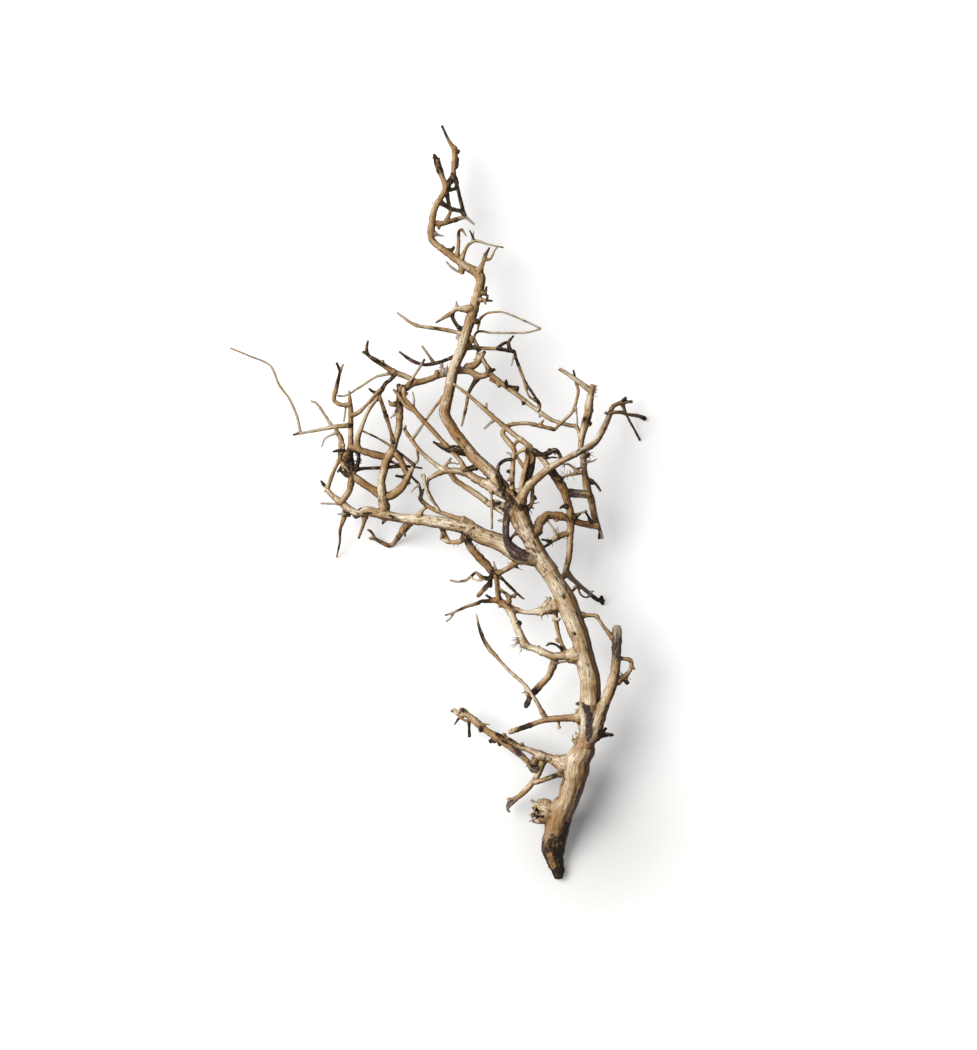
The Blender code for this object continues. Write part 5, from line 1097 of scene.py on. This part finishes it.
EVERY = [limb for limbs in PIECES.values() for limb in limbs]
for limb in EVERY:
    limb.sample()
joined(EVERY)
for tuft in TUFTS:
    shreds(*tuft)
for limbs in HAIRS.values():
    for limb in limbs:
        limb.sample()


def take(*pieces):
    """Selects these objects alone, with the last one active."""
    bpy.ops.object.select_all(action="DESELECT")
    for piece in pieces:
        piece.select_set(True)
    bpy.context.view_layer.objects.active = pieces[-1]


def modify(piece, kind, **settings):
    """Adds a modifier to the active object and applies it."""
    bpy.ops.object.modifier_add(type=kind)
    step = piece.modifiers[-1]
    for key, value in settings.items():
        setattr(step, key, value)
    bpy.ops.object.modifier_apply(modifier=step.name)


def edge_ends(mesh):
    """The two ends of every edge, as two arrays."""
    ends = np.empty(len(mesh.edges) * 2, np.int64)
    mesh.edges.foreach_get("vertices", ends)
    return ends[0::2], ends[1::2]


def point_values(mesh, field):
    """A vector of every point of a mesh, as rows."""
    values = np.empty(len(mesh.vertices) * 3)
    mesh.vertices.foreach_get(field, values)
    return values.reshape(-1, 3)


def wood_tubes(name, limbs, corners):
    """One mesh of closed tubes along the limbs, made from a bevelled curve."""
    bpy.ops.object.select_all(action="DESELECT")
    bpy.ops.curve.primitive_nurbs_path_add()
    tubes = bpy.context.object
    tubes.name = name
    wire = tubes.data
    wire.splines.clear()
    wire.dimensions = "3D"
    wire.twist_mode = "MINIMUM"
    wire.bevel_depth = MM
    wire.bevel_resolution = corners
    wire.use_fill_caps = True
    for limb in limbs:
        spline = wire.splines.new("POLY")
        spline.points.add(len(limb.spots) - 1)
        places = np.ones((len(limb.spots), 4))
        places[:, :3] = limb.spots * MM
        spline.points.foreach_set("co", places.ravel())
        spline.points.foreach_set("radius", limb.radius)
    bpy.ops.object.convert(target="MESH")
    bpy.ops.object.mode_set(mode="EDIT")
    bpy.ops.mesh.select_all(action="SELECT")
    bpy.ops.mesh.remove_doubles(threshold=0.00001)
    bpy.ops.mesh.normals_make_consistent(inside=False)
    bpy.ops.object.mode_set(mode="OBJECT")
    return tubes


def nearest(limbs, places):
    """For each place, the sample of wood that it lies on."""
    centres = gathered(limbs, "spots").astype(np.float32)
    radii = gathered(limbs, "radius").astype(np.float32)
    found = np.empty(len(places), np.int64)
    for at in range(0, len(places), PLACES_AT_ONCE):
        some = places[at : at + PLACES_AT_ONCE].astype(np.float32)
        apart = np.sqrt(((some[:, None, :] - centres[None, :, :]) ** 2).sum(axis=2)) - radii
        found[at : at + PLACES_AT_ONCE] = apart.argmin(axis=1)
    return found


def limb_tones(limb):
    """The finish at each sample of a limb."""
    marks = np.array([TONES[word] for word in limb.tone.split()])
    if len(marks) == 1:
        marks = np.vstack([marks, marks])
    share = limb.arc / limb.arc[-1] * (len(marks) - 1)
    steps = np.arange(len(marks))
    return np.stack([np.interp(share, steps, marks[:, k]) for k in range(4)], axis=1)


def cavities(mesh, places, normals, rounds):
    """How deep each point lies below its surroundings, in millimetres."""
    a, b = edge_ends(mesh)
    count = len(places)
    ties = np.bincount(a, minlength=count) + np.bincount(b, minlength=count)
    soft = places.copy()
    for _ in range(rounds):
        near = [
            np.bincount(a, soft[b, k], count) + np.bincount(b, soft[a, k], count) for k in range(3)
        ]
        soft = 0.5 * soft + 0.5 * np.stack(near, axis=1) / np.maximum(ties, 1)[:, None]
    return ((soft - places) * normals).sum(axis=1)


def thin_end(limb):
    """Whether a limb runs out into a thin free tip."""
    return limb.carry is None and limb.radius[-1] < 2.0


def paint_patches(name, channels, places, normals):
    """Lays a piece's stripes of bark, bleach and weathering, and a few dark stripes of painted shade,
    over the tones of its limbs.
    """
    plan = np.stack([places[:, 0] + X_MID, Y_MID - places[:, 1]], axis=1)
    for kind, x0, y0, x1, y1, half, strength in PATCHES.get(name, ()):
        start, run = np.array([x0, y0]), np.array([x1 - x0, y1 - y0], float)
        share = np.clip(((plan - start) @ run) / max(run @ run, 1e-9), 0.0, 1.0)
        apart = np.linalg.norm(plan - start - share[:, None] * run, axis=1)
        mask = strength * np.clip(1.6 - apart / half, 0.0, 1.0) * (normals[:, 2] > -0.2)
        channel = PATCH_CHANNEL[kind]
        if kind in ("warm", "pale", "grey"):
            channels[:, BARK] *= 1.0 - mask
        if kind == "warm":
            channels[:, PALE] *= 1.0 - 0.35 * mask
        channels[:, channel] = np.maximum(channels[:, channel], mask)
        if kind == "purple":
            channels[:, GREY] = np.maximum(channels[:, GREY], 0.6 * mask)


def relief(place, grain, r, mark, widest):
    """How far the skin stands out at a place: the long ridges, the fine strands and the lumps."""
    pitch = min(max(0.42 * r, 0.8), widest)
    x, y, z = grain
    turn = z / (GRAIN_TWIST * pitch)
    x, y = x * math.cos(turn) - y * math.sin(turn), x * math.sin(turn) + y * math.cos(turn)
    wave = noise.noise(Vector((x / pitch, y / pitch, z / (GRAIN_RUN * pitch))))
    ridge = 1.0 - 2.6 * abs(wave)
    strand = noise.noise(Vector((x / 0.9 + 5.0, y / 0.9, z / 9.0)))
    spot = place / (1.3 * r + 2.0)
    lump = noise.noise(Vector((spot[0], spot[1], spot[2] + mark)))
    grained = min(0.075 * r, 0.55) * ridge + min(0.07 * r, 0.2) * strand
    return grained + (min(0.12 * r, 0.8) + 0.05) * lump


def dress(piece, name, limbs, fuzz, look):
    """Carves the grain into the wood, and paints where each finish lies, how deep each point sits for
    the painted shade of hollows, and how far it faces the painted light.
    """
    mesh = piece.data
    count = len(mesh.vertices)
    places = point_values(mesh, "co") / MM
    normals = point_values(mesh, "normal")
    every = list(limbs) + list(fuzz)
    found = nearest(every, places)
    centres, radii, ways, sides, arcs = (
        gathered(every, field)[found] for field in ("spots", "radius", "ways", "sides", "arc")
    )
    marks, solid, tips, ends = (
        np.concatenate(rows)[found]
        for rows in (
            [limb.each(limb.number * GRAIN_SHIFT) for limb in every],
            [limb.each(limb in limbs) for limb in every],
            [limb.arc[-1] - limb.arc for limb in every],
            [limb.each(limb in limbs and thin_end(limb)) for limb in every],
        )
    )
    off = places - centres
    along = arcs + (off * ways).sum(axis=1)
    across = (off * sides).sum(axis=1)
    over = (off * np.cross(ways, sides)).sum(axis=1)
    grain = np.stack([across, over, along + marks], axis=1)
    channels = np.zeros((count, 5))
    channels[:, :HOLE] = np.concatenate([limb_tones(limb) for limb in every])[found]
    bark, pits = channels[:, BARK], channels[:, HOLE]
    bark[:] = np.maximum(bark, ends * 0.62 * np.clip(1.3 - tips / 5.0, 0.0, 1.0))
    paint_patches(name, channels, places, normals)
    cut = np.array(
        [relief(places[k], grain[k], radii[k], marks[k], look.ridge_pitch) for k in range(count)]
    )
    cut *= look.ridge_depth
    cut += 0.22 * np.clip(bark - 0.5, 0.0, 0.5) * np.minimum(radii, 6.0) / 3.0
    cut -= pits * np.minimum(0.35 * radii, 1.8)
    places += normals * (cut * solid)[:, None]
    places = np.clip(places, np.array(CAD_BOX[0]) / MM, np.array(CAD_BOX[1]) / MM)
    mesh.vertices.foreach_set("co", (places * MM).ravel())
    step = look.voxel_thick if radii.max() > THICK_WOOD else look.voxel_thin
    # The depth of each point below its surroundings marks where shade is painted into furrows, crotches
    # and holes.
    curl = (step / MM) ** 2 / np.maximum(radii, 0.5)
    fine = cavities(mesh, places, normals, 3) + 0.18 * curl
    broad = cavities(mesh, places, normals, 24) + 1.3 * curl
    deep = np.clip(0.12 + 2.2 * fine + 0.9 * broad, 0.0, 0.8) * solid
    for layer, kind, field, values in (
        ("grain", "FLOAT_VECTOR", "vector", grain),
        ("tone", "FLOAT_COLOR", "color", channels[:, :HOLE]),
        ("hollow", "FLOAT", "value", np.maximum(deep, pits)),
        # How far each point faces the painted light, for the painted highlight and painted shade of its
        # sides.
        ("upward", "FLOAT", "value", normals @ np.array(PAINTED_LIGHT_WAY)),
    ):
        data = mesh.attributes.new(layer, kind, "POINT").data
        data.foreach_set(field, values.ravel())
    mesh.update()


def drop_crumbs(mesh):
    """Takes away the loose crumbs that the skin of a piece can leave beside it."""
    a, b = edge_ends(mesh)
    body, before = np.arange(len(mesh.vertices)), None
    while before is None or (before != body).any():
        before, least = body, np.minimum(body[a], body[b])
        body = body.copy()
        np.minimum.at(body, a, least)
        np.minimum.at(body, b, least)
        body = body[body]
    small = np.flatnonzero(np.bincount(body)[body] < CRUMB_POINTS)
    if len(small):
        shape = bmesh.new()
        shape.from_mesh(mesh)
        shape.verts.ensure_lookup_table()
        bmesh.ops.delete(shape, geom=[shape.verts[k] for k in small], context="VERTS")
        shape.to_mesh(mesh)
        shape.free()


def grow_piece(name, look, finish):
    """Grows one piece of the branch in place of its plain solid."""
    limbs = PIECES[name]
    fuzz = HAIRS.get(name, ())
    piece = wood_tubes(name + "_wood", limbs, 4)
    thick = gathered(limbs, "radius").max() > THICK_WOOD
    cell = look.voxel_thick if thick else look.voxel_thin
    modify(piece, "REMESH", mode="VOXEL", voxel_size=cell)
    modify(piece, "SMOOTH", factor=0.5, iterations=3 if thick else 2)
    drop_crumbs(piece.data)
    if fuzz:
        take(wood_tubes(name + "_tuft", fuzz, 1), piece)
        bpy.ops.object.join()
    dress(piece, name, limbs, fuzz, look)
    piece.data.materials.clear()
    piece.data.materials.append(finish)
    take(piece)
    bpy.ops.object.shade_smooth()
    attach(piece, "root")
    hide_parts(name)


class Wire:
    """A socket of a shader, so that shader maths is written as an expression."""

    def __init__(self, finish, socket):
        self.finish, self.socket = finish, socket

    def _math(self, operation, first, second, clamp=False):
        settings = {"operation": operation, "use_clamp": clamp}
        return self.finish.node("ShaderNodeMath", settings, {0: first, 1: second})

    def __add__(self, other):
        return self._math("ADD", self, other)

    def __sub__(self, other):
        return self._math("SUBTRACT", self, other)

    def __rsub__(self, other):
        return self._math("SUBTRACT", other, self)

    def __mul__(self, other):
        return self._math("MULTIPLY", self, other)

    __radd__ = __add__
    __rmul__ = __mul__

    def clip(self):
        """The value held between 0 and 1."""
        return self._math("ADD", self, 0.0, clamp=True)


class Finish:
    """A material while it is wired."""

    def __init__(self, name):
        self.material = bpy.data.materials.new(name)
        self.material.use_nodes = True
        self.tree = self.material.node_tree
        self.shader = self.tree.nodes["Principled BSDF"]

    def node(self, kind, settings=None, values=None, out=0):
        """A new node, as one of its outputs."""
        node = self.tree.nodes.new(kind)
        for key, value in (settings or {}).items():
            setattr(node, key, value)
        for key, value in (values or {}).items():
            self.put(node.inputs[key], value)
        return Wire(self, node.outputs[out])

    def put(self, socket, value):
        """Links an input to a wire, or sets it."""
        if isinstance(value, Wire):
            self.tree.links.new(value.socket, socket)
        elif isinstance(value, tuple) and len(value) == 3 and socket.type == "RGBA":
            socket.default_value = (*value, 1.0)
        else:
            socket.default_value = value

    def set(self, inputs):
        """Sets several inputs of the shader."""
        for key, value in inputs.items():
            self.put(self.shader.inputs[key], value)

    def mix(self, share, first, second):
        settings = {"data_type": "RGBA"}
        return self.node("ShaderNodeMix", settings, {0: share, 6: first, 7: second}, out=2)

    def given(self, name, out="Fac"):
        """What the mesh carries under a name."""
        return self.node("ShaderNodeAttribute", {"attribute_name": name}, out=out)

    def scaled(self, vector, scale):
        return self.node("ShaderNodeVectorMath", {"operation": "MULTIPLY"}, {0: vector, 1: scale})

    def triple(self, value):
        return self.node("ShaderNodeCombineXYZ", None, {0: value, 1: value, 2: value})

    def noise(self, vector, detail, roughness=0.5, distortion=0.0):
        values = {"Vector": vector, "Scale": 1.0, "Detail": detail, "Roughness": roughness}
        values["Distortion"] = distortion
        return self.node("ShaderNodeTexNoise", None, values)


# The near black painted shade of the deepest hollows and holes.
HOLLOW_SHADE_COLOUR = (0.014, 0.009, 0.007)


def weathered_wood(slot, look):
    """Peeled wood with its grain, warm heartwood, grey weathering and scraps of bark, with a paler
    painted highlight on the sides that face the light and painted shade on the sides turned away and in
    hollows.

    Each finish is a share from 0 to 1 that is mixed over those before it: the sum of what the
    mesh says and of noise about its middle, held between 0 and 1.
    """
    wood = Finish("weathered_" + slot)
    grain = wood.given("grain", "Vector")
    tone = wood.given("tone", "Color")
    grey = wood.given("tone", "Alpha")
    hollow = wood.given("hollow")
    # How far the surface faces the painted light.
    facing_light = wood.given("upward")
    bark, warm, pale = (
        wood.node("ShaderNodeSeparateColor", None, {0: tone}, out=k) for k in range(3)
    )
    place = wood.node("ShaderNodeTexCoord", out="Object")
    streak = wood.noise(wood.scaled(grain, (0.55, 0.55, 0.045)), 4.0, 0.6, 0.3)
    fine = wood.noise(wood.scaled(grain, (1.9, 1.9, 0.12)), 3.0, 0.6)
    blotch = wood.noise(wood.scaled(place, (70.0, 70.0, 70.0)), 4.0, 0.6)
    sway = wood.noise(wood.scaled(grain, (0.12, 0.12, 0.06)), 2.0)
    drift = wood.node(
        "ShaderNodeVectorMath", {"operation": "MULTIPLY_ADD"},
        {0: grain, 1: (0.3, 0.3, 0.035), 2: wood.scaled(wood.triple(sway), (1.6, 1.6, 0.3))},
    )
    cell = wood.node(
        "ShaderNodeTexVoronoi", {"feature": "DISTANCE_TO_EDGE"}, {"Vector": drift, "Scale": 1.0}
    )
    crack = ((0.055 - cell) * 22.0).clip() * ((streak - 0.42) * 6.0).clip()
    patch = wood.noise(wood.scaled(grain, (0.45, 0.45, 0.16)), 5.0, 0.7)
    spots = wood.noise(wood.scaled(grain, (0.5, 0.5, 0.2)), 3.0, 0.55)
    # Pale wood where the limb's tone is pale, and a painted highlight on the sides that face the light.
    pale_and_lit = (pale * 1.05 + (streak - 0.5) * 2.8 + (blotch - 0.5) * 2.0 + facing_light * 1.1 - 1.1).clip()
    colour = wood.mix(pale_and_lit, tuple(look.tan), tuple(look.pale))
    # Warm heartwood where the limb's tone says so, and a warm painted shade on the sides turned from
    # the light.
    heartwood_and_shade = warm * 0.8 + (blotch - 0.5) * 2.0 + (streak - 0.5) * 1.0 + (0.6 - facing_light) * 0.7 - 0.05
    colour = wood.mix(heartwood_and_shade.clip(), colour, tuple(look.warm))
    # Painted shade on the sides turned away from the light.
    side = ((0.74 - facing_light) * 1.5 + (streak - 0.5) * 1.6).clip()
    # Brown from the real grain, cracks and spots, and painted shade in hollows and on the sides turned
    # from the light.
    brown = ((fine - 0.54) * 4.5).clip() * 0.6 + ((hollow - 0.25) * 1.3).clip() * 0.75
    brown = (brown + crack * 0.55 + side * 0.9 + ((spots - 0.57) * 6.0).clip() * 0.75).clip()
    colour = wood.mix(brown, colour, tuple(look.brown))
    weather = (grey * (0.45 + streak) - 0.1).clip()
    colour = wood.mix(weather, colour, tuple(look.grey))
    crust = ((bark * 1.3 + (patch - 0.5) * 2.6 - 0.7) * 2.0).clip()
    # Rubbed ridges of the bark, and a painted highlight on the bark that faces the light.
    scuff_and_lit = ((fine - 0.53) * 3.0 + (facing_light - 0.65) * 0.5).clip()
    skin = wood.mix(scuff_and_lit, tuple(look.bark), tuple(look.bark_light))
    skin = wood.mix(grey, skin, tuple(look.plum))
    colour = wood.mix(crust, colour, skin)
    # Painted shade: near black in the deepest hollows and holes.
    hollow_shade = ((hollow - 0.82) * 6.0).clip() * 0.9
    colour = wood.mix(hollow_shade, colour, HOLLOW_SHADE_COLOUR)
    height = streak * 0.5 + fine * 0.35 + crust * (0.3 + patch * 0.5) - crack * 0.6
    bump = {"Strength": 0.7, "Distance": 0.0006, "Height": height}
    wood.set(
        {
            "Base Color": colour,
            "Roughness": (0.62 + crust * 0.2 + (streak - 0.5) * 0.2).clip(),
            "IOR": 1.45,
            "Specular IOR Level": 0.3,
            "Normal": wood.node("ShaderNodeBump", None, bump),
        }
    )
    wood.material.diffuse_color = (*look.tan, 1.0)
    return wood.material


# Where the floor's glow fades to nothing beside the butt, and how fast it comes back, per metre.
GLOW_GAP = (0.162, -0.32, 0.0)
GLOW_SLOPE = 7.5
# The middle of the picture on the floor, and the width of the camera's sensor in millimetres.
PICTURE_MIDDLE = (0.0505, -0.0225)
SENSOR_WIDTH = 36.0


def floor_cover(stage):
    """A pale matt cover, with a glow that keeps its shadows light."""
    cover = Finish("floor_cover")
    place = cover.node("ShaderNodeTexCoord", out="Object")
    cloudy = cover.noise(cover.scaled(place, (3.0, 3.0, 3.0)), 2.0)
    shade = tuple(0.985 * value for value in stage.floor_colour)
    base = cover.mix(cloudy, shade, tuple(stage.floor_colour))
    distance = {"operation": "DISTANCE"}
    away = cover.node("ShaderNodeVectorMath", distance, {0: place, 1: GLOW_GAP}, out=1)
    glow = (away * GLOW_SLOPE).clip()
    cover.set(
        {
            "Base Color": base,
            "Roughness": 0.9,
            "Specular IOR Level": 0.1,
            "Emission Color": cover.mix(glow, (0.0, 0.0, 0.0), (1.0, 1.0, 1.0)),
            "Emission Strength": stage.floor_glow,
        }
    )
    return cover.material


def lay_stage(stage):
    """A plain pale floor, a soft sun from the left, an even sky and the camera above."""
    bpy.ops.mesh.primitive_plane_add(size=stage.floor_size, location=(0.0, 0.0, 0.0))
    floor = bpy.context.object
    floor.name = "floor"
    floor.data.materials.append(floor_cover(stage))

    height, bearing = math.radians(stage.sun_height), math.radians(stage.sun_bearing)
    bpy.ops.object.light_add(type="SUN", location=(-1.0, 0.3, 1.5))
    sun = bpy.context.object
    sun.name = "window_light"
    sun.data.energy = stage.sun_strength
    sun.data.angle = math.radians(stage.sun_spread)
    sun.data.color = (1.0, 0.985, 0.96)
    level = math.cos(height)
    toward = Vector((math.cos(bearing) * level, math.sin(bearing) * level, -math.sin(height)))
    sun.rotation_euler = toward.to_track_quat("-Z", "Y").to_euler()

    world = bpy.data.worlds.new("pale_room")
    world.use_nodes = True
    tree = world.node_tree
    sky = tree.nodes["Background"]
    sky.inputs["Strength"].default_value = 1.0
    toward_sky = tree.nodes.new("ShaderNodeTexCoord")
    split = tree.nodes.new("ShaderNodeSeparateXYZ")
    fade = tree.nodes.new("ShaderNodeMapRange")
    horizon = {"From Min": 0.02, "From Max": 0.3, "To Min": 0.95, "To Max": stage.sky_strength}
    for key, value in horizon.items():
        fade.inputs[key].default_value = value
    tree.links.new(toward_sky.outputs["Generated"], split.inputs["Vector"])
    tree.links.new(split.outputs["Z"], fade.inputs["Value"])
    tree.links.new(fade.outputs["Result"], sky.inputs["Color"])
    bpy.context.scene.world = world
    bpy.context.scene.view_settings.view_transform = "Standard"
    bpy.context.scene.view_settings.look = "None"

    bpy.ops.object.camera_add(location=(*PICTURE_MIDDLE, stage.camera_height))
    camera = bpy.context.object
    camera.name = "overhead_camera"
    camera.rotation_euler = (0.0, 0.0, 0.0)
    camera.data.sensor_width = SENSOR_WIDTH
    camera.data.lens = SENSOR_WIDTH * stage.camera_height / stage.frame_height
    camera.data.clip_start = 0.1
    camera.data.clip_end = 100.0
    bpy.context.scene.camera = camera


def amount(name, description, default, **limits):
    """A number that can be set."""
    return bpy.props.FloatProperty(name=name, description=description, default=default, **limits)


def tint(name, description, default):
    """A colour that can be set."""
    return bpy.props.FloatVectorProperty(
        name=name, description=description, default=default,
        subtype="COLOR", size=3, min=0.0, max=1.0,
    )


def cell_size(name, description, default):
    """A cell size that can be set."""
    return amount(name, description, default, min=0.0004, max=0.003, unit="LENGTH", precision=5)


class BranchLook(bpy.types.PropertyGroup):
    """The wood's relief and its colours."""

    ridge_depth: amount("Ridge depth", "Strength of the carved grain", 1.0, min=0.0, max=3.0)
    ridge_pitch: amount(
        "Ridge pitch", "Distance between the long ridges, in millimetres", 3.4, min=0.5, max=10.0
    )
    voxel_thick: cell_size("Trunk detail", "Size of the cells of the thick pieces", 0.00088)
    voxel_thin: cell_size("Twig detail", "Size of the cells of the thin pieces", 0.00064)
    pale: tint("Bleached wood", "Peeled wood in full light", (0.88, 0.76, 0.57))
    tan: tint("Tan wood", "Ordinary peeled wood", (0.4, 0.25, 0.11))
    warm: tint("Heartwood", "Orange-brown places", (0.33, 0.15, 0.04))
    # Also the colour of the painted shade in furrows, crotches and on the sides turned from the light.
    brown: tint("Brown wood", "Furrows and undersides", (0.06, 0.025, 0.008))
    grey: tint("Weathering", "Silver-grey weathering", (0.36, 0.31, 0.26))
    bark: tint("Bark", "Scraps of dark bark", (0.016, 0.009, 0.0045))
    # Also the painted highlight on bark that faces the light.
    bark_light: tint("Bark ridges", "Rubbed ridges of the bark", (0.085, 0.043, 0.021))
    plum: tint("Purple bark", "Bark that has weathered to purple", (0.068, 0.037, 0.037))


class BranchStage(bpy.types.PropertyGroup):
    """The floor, the light and the camera."""

    floor_size: amount("Floor", "Side of the floor", 12.0, min=1.0, unit="LENGTH")
    floor_colour: tint("Floor colour", "Colour of the floor", (0.7, 0.7, 0.697))
    floor_glow: amount("Floor glow", "Keeps the floor's shadows light", 0.37, min=0.0)
    sun_strength: amount("Sun strength", "Strength of the key light", 3.3, min=0.0)
    sun_height: amount("Sun height", "Degrees above the floor", 53.0, min=5.0, max=90.0)
    sun_bearing: amount("Shadow bearing", "Degrees from +X that shadows fall", -20.0)
    sun_spread: amount("Sun spread", "Softness of the shadows in degrees", 40.0, min=0.0)
    sky_strength: amount("Sky strength", "Strength of the even light", 0.24, min=0.0)
    camera_height: amount("Camera height", "Height above the floor", 20.0, unit="LENGTH")
    frame_height: amount("Frame height", "What the picture spans", 1.05, unit="LENGTH")


def grow_group(context, names):
    """Grows several pieces, each in the finish of its slot."""
    look = context.scene.branch_look
    slots = {row["node"]: row["material_slot"] for row in frame["record"]["subparts"]}
    for name in names:
        slot = slots[name]
        finish = bpy.data.materials.get("weathered_" + slot) or weathered_wood(slot, look)
        grow_piece(name, look, finish)


class GrowStep:
    """A step that grows some of the pieces."""

    pieces = ()

    def execute(self, context):
        grow_group(context, self.pieces)
        return {"FINISHED"}


class BRANCH_OT_trunk(GrowStep, bpy.types.Operator):
    """Grow the butt, the trunk, its prong and its crown"""

    bl_idname = "branch.trunk"
    bl_label = "Trunk"
    pieces = ("trunk_base", "prong", "trunk_middle", "crown")


class BRANCH_OT_low_twigs(GrowStep, bpy.types.Operator):
    """Grow the limbs low on the trunk"""

    bl_idname = "branch.low_twigs"
    bl_label = "Low limbs"
    pieces = ("low_limb", "whip_limb", "side_limb")


class BRANCH_OT_left_side(GrowStep, bpy.types.Operator):
    """Grow the limbs on the left of the crown"""

    bl_idname = "branch.left_side"
    bl_label = "Left side"
    pieces = ("left_limb", "left_end", "spray", "limb_b", "left_post", "slanted", "tan_limb")


class BRANCH_OT_leader(GrowStep, bpy.types.Operator):
    """Grow the leader with its arch, arms and upright twigs"""

    bl_idname = "branch.leader"
    bl_label = "Leader"
    pieces = (
        "leader_low", "leader_mid", "leader_top", "arch", "right_arm", "dark_arm", "uprights",
        "hook_twig",
    )


class BRANCH_OT_right_side(GrowStep, bpy.types.Operator):
    """Grow the limbs on the right of the crown"""

    bl_idname = "branch.right_side"
    bl_label = "Right side"
    pieces = ("right_limb", "right_post", "second_limb")


class BRANCH_OT_stage(bpy.types.Operator):
    """Lay the floor, the light and the camera"""

    bl_idname = "branch.stage"
    bl_label = "Stage"

    def execute(self, context):
        lay_stage(context.scene.branch_stage)
        return {"FINISHED"}


OPERATORS = (
    BRANCH_OT_trunk,
    BRANCH_OT_low_twigs,
    BRANCH_OT_left_side,
    BRANCH_OT_leader,
    BRANCH_OT_right_side,
    BRANCH_OT_stage,
)


class BRANCH_PT_panel(bpy.types.Panel):
    """The branch's settings and steps"""

    bl_idname = "BRANCH_PT_panel"
    bl_label = "Branch"
    bl_space_type = "VIEW_3D"
    bl_region_type = "UI"
    bl_category = "Branch"

    def draw(self, context):
        for group in (context.scene.branch_look, context.scene.branch_stage):
            box = self.layout.box()
            for key in group.bl_rna.properties.keys():
                if key not in ("rna_type", "name"):
                    box.prop(group, key)
        for step in OPERATORS:
            self.layout.operator(step.bl_idname)


CLASSES = (BranchLook, BranchStage, *OPERATORS, BRANCH_PT_panel)


def register():
    for kind in CLASSES:
        bpy.utils.register_class(kind)
    bpy.types.Scene.branch_look = bpy.props.PointerProperty(type=BranchLook)
    bpy.types.Scene.branch_stage = bpy.props.PointerProperty(type=BranchStage)


def unregister():
    del bpy.types.Scene.branch_stage
    del bpy.types.Scene.branch_look
    for kind in reversed(CLASSES):
        bpy.utils.unregister_class(kind)


def main():
    register()
    bpy.ops.branch.stage()
    bpy.ops.branch.trunk()
    bpy.ops.branch.low_twigs()
    bpy.ops.branch.left_side()
    bpy.ops.branch.leader()
    bpy.ops.branch.right_side()


if __name__ == "__main__":
    main()
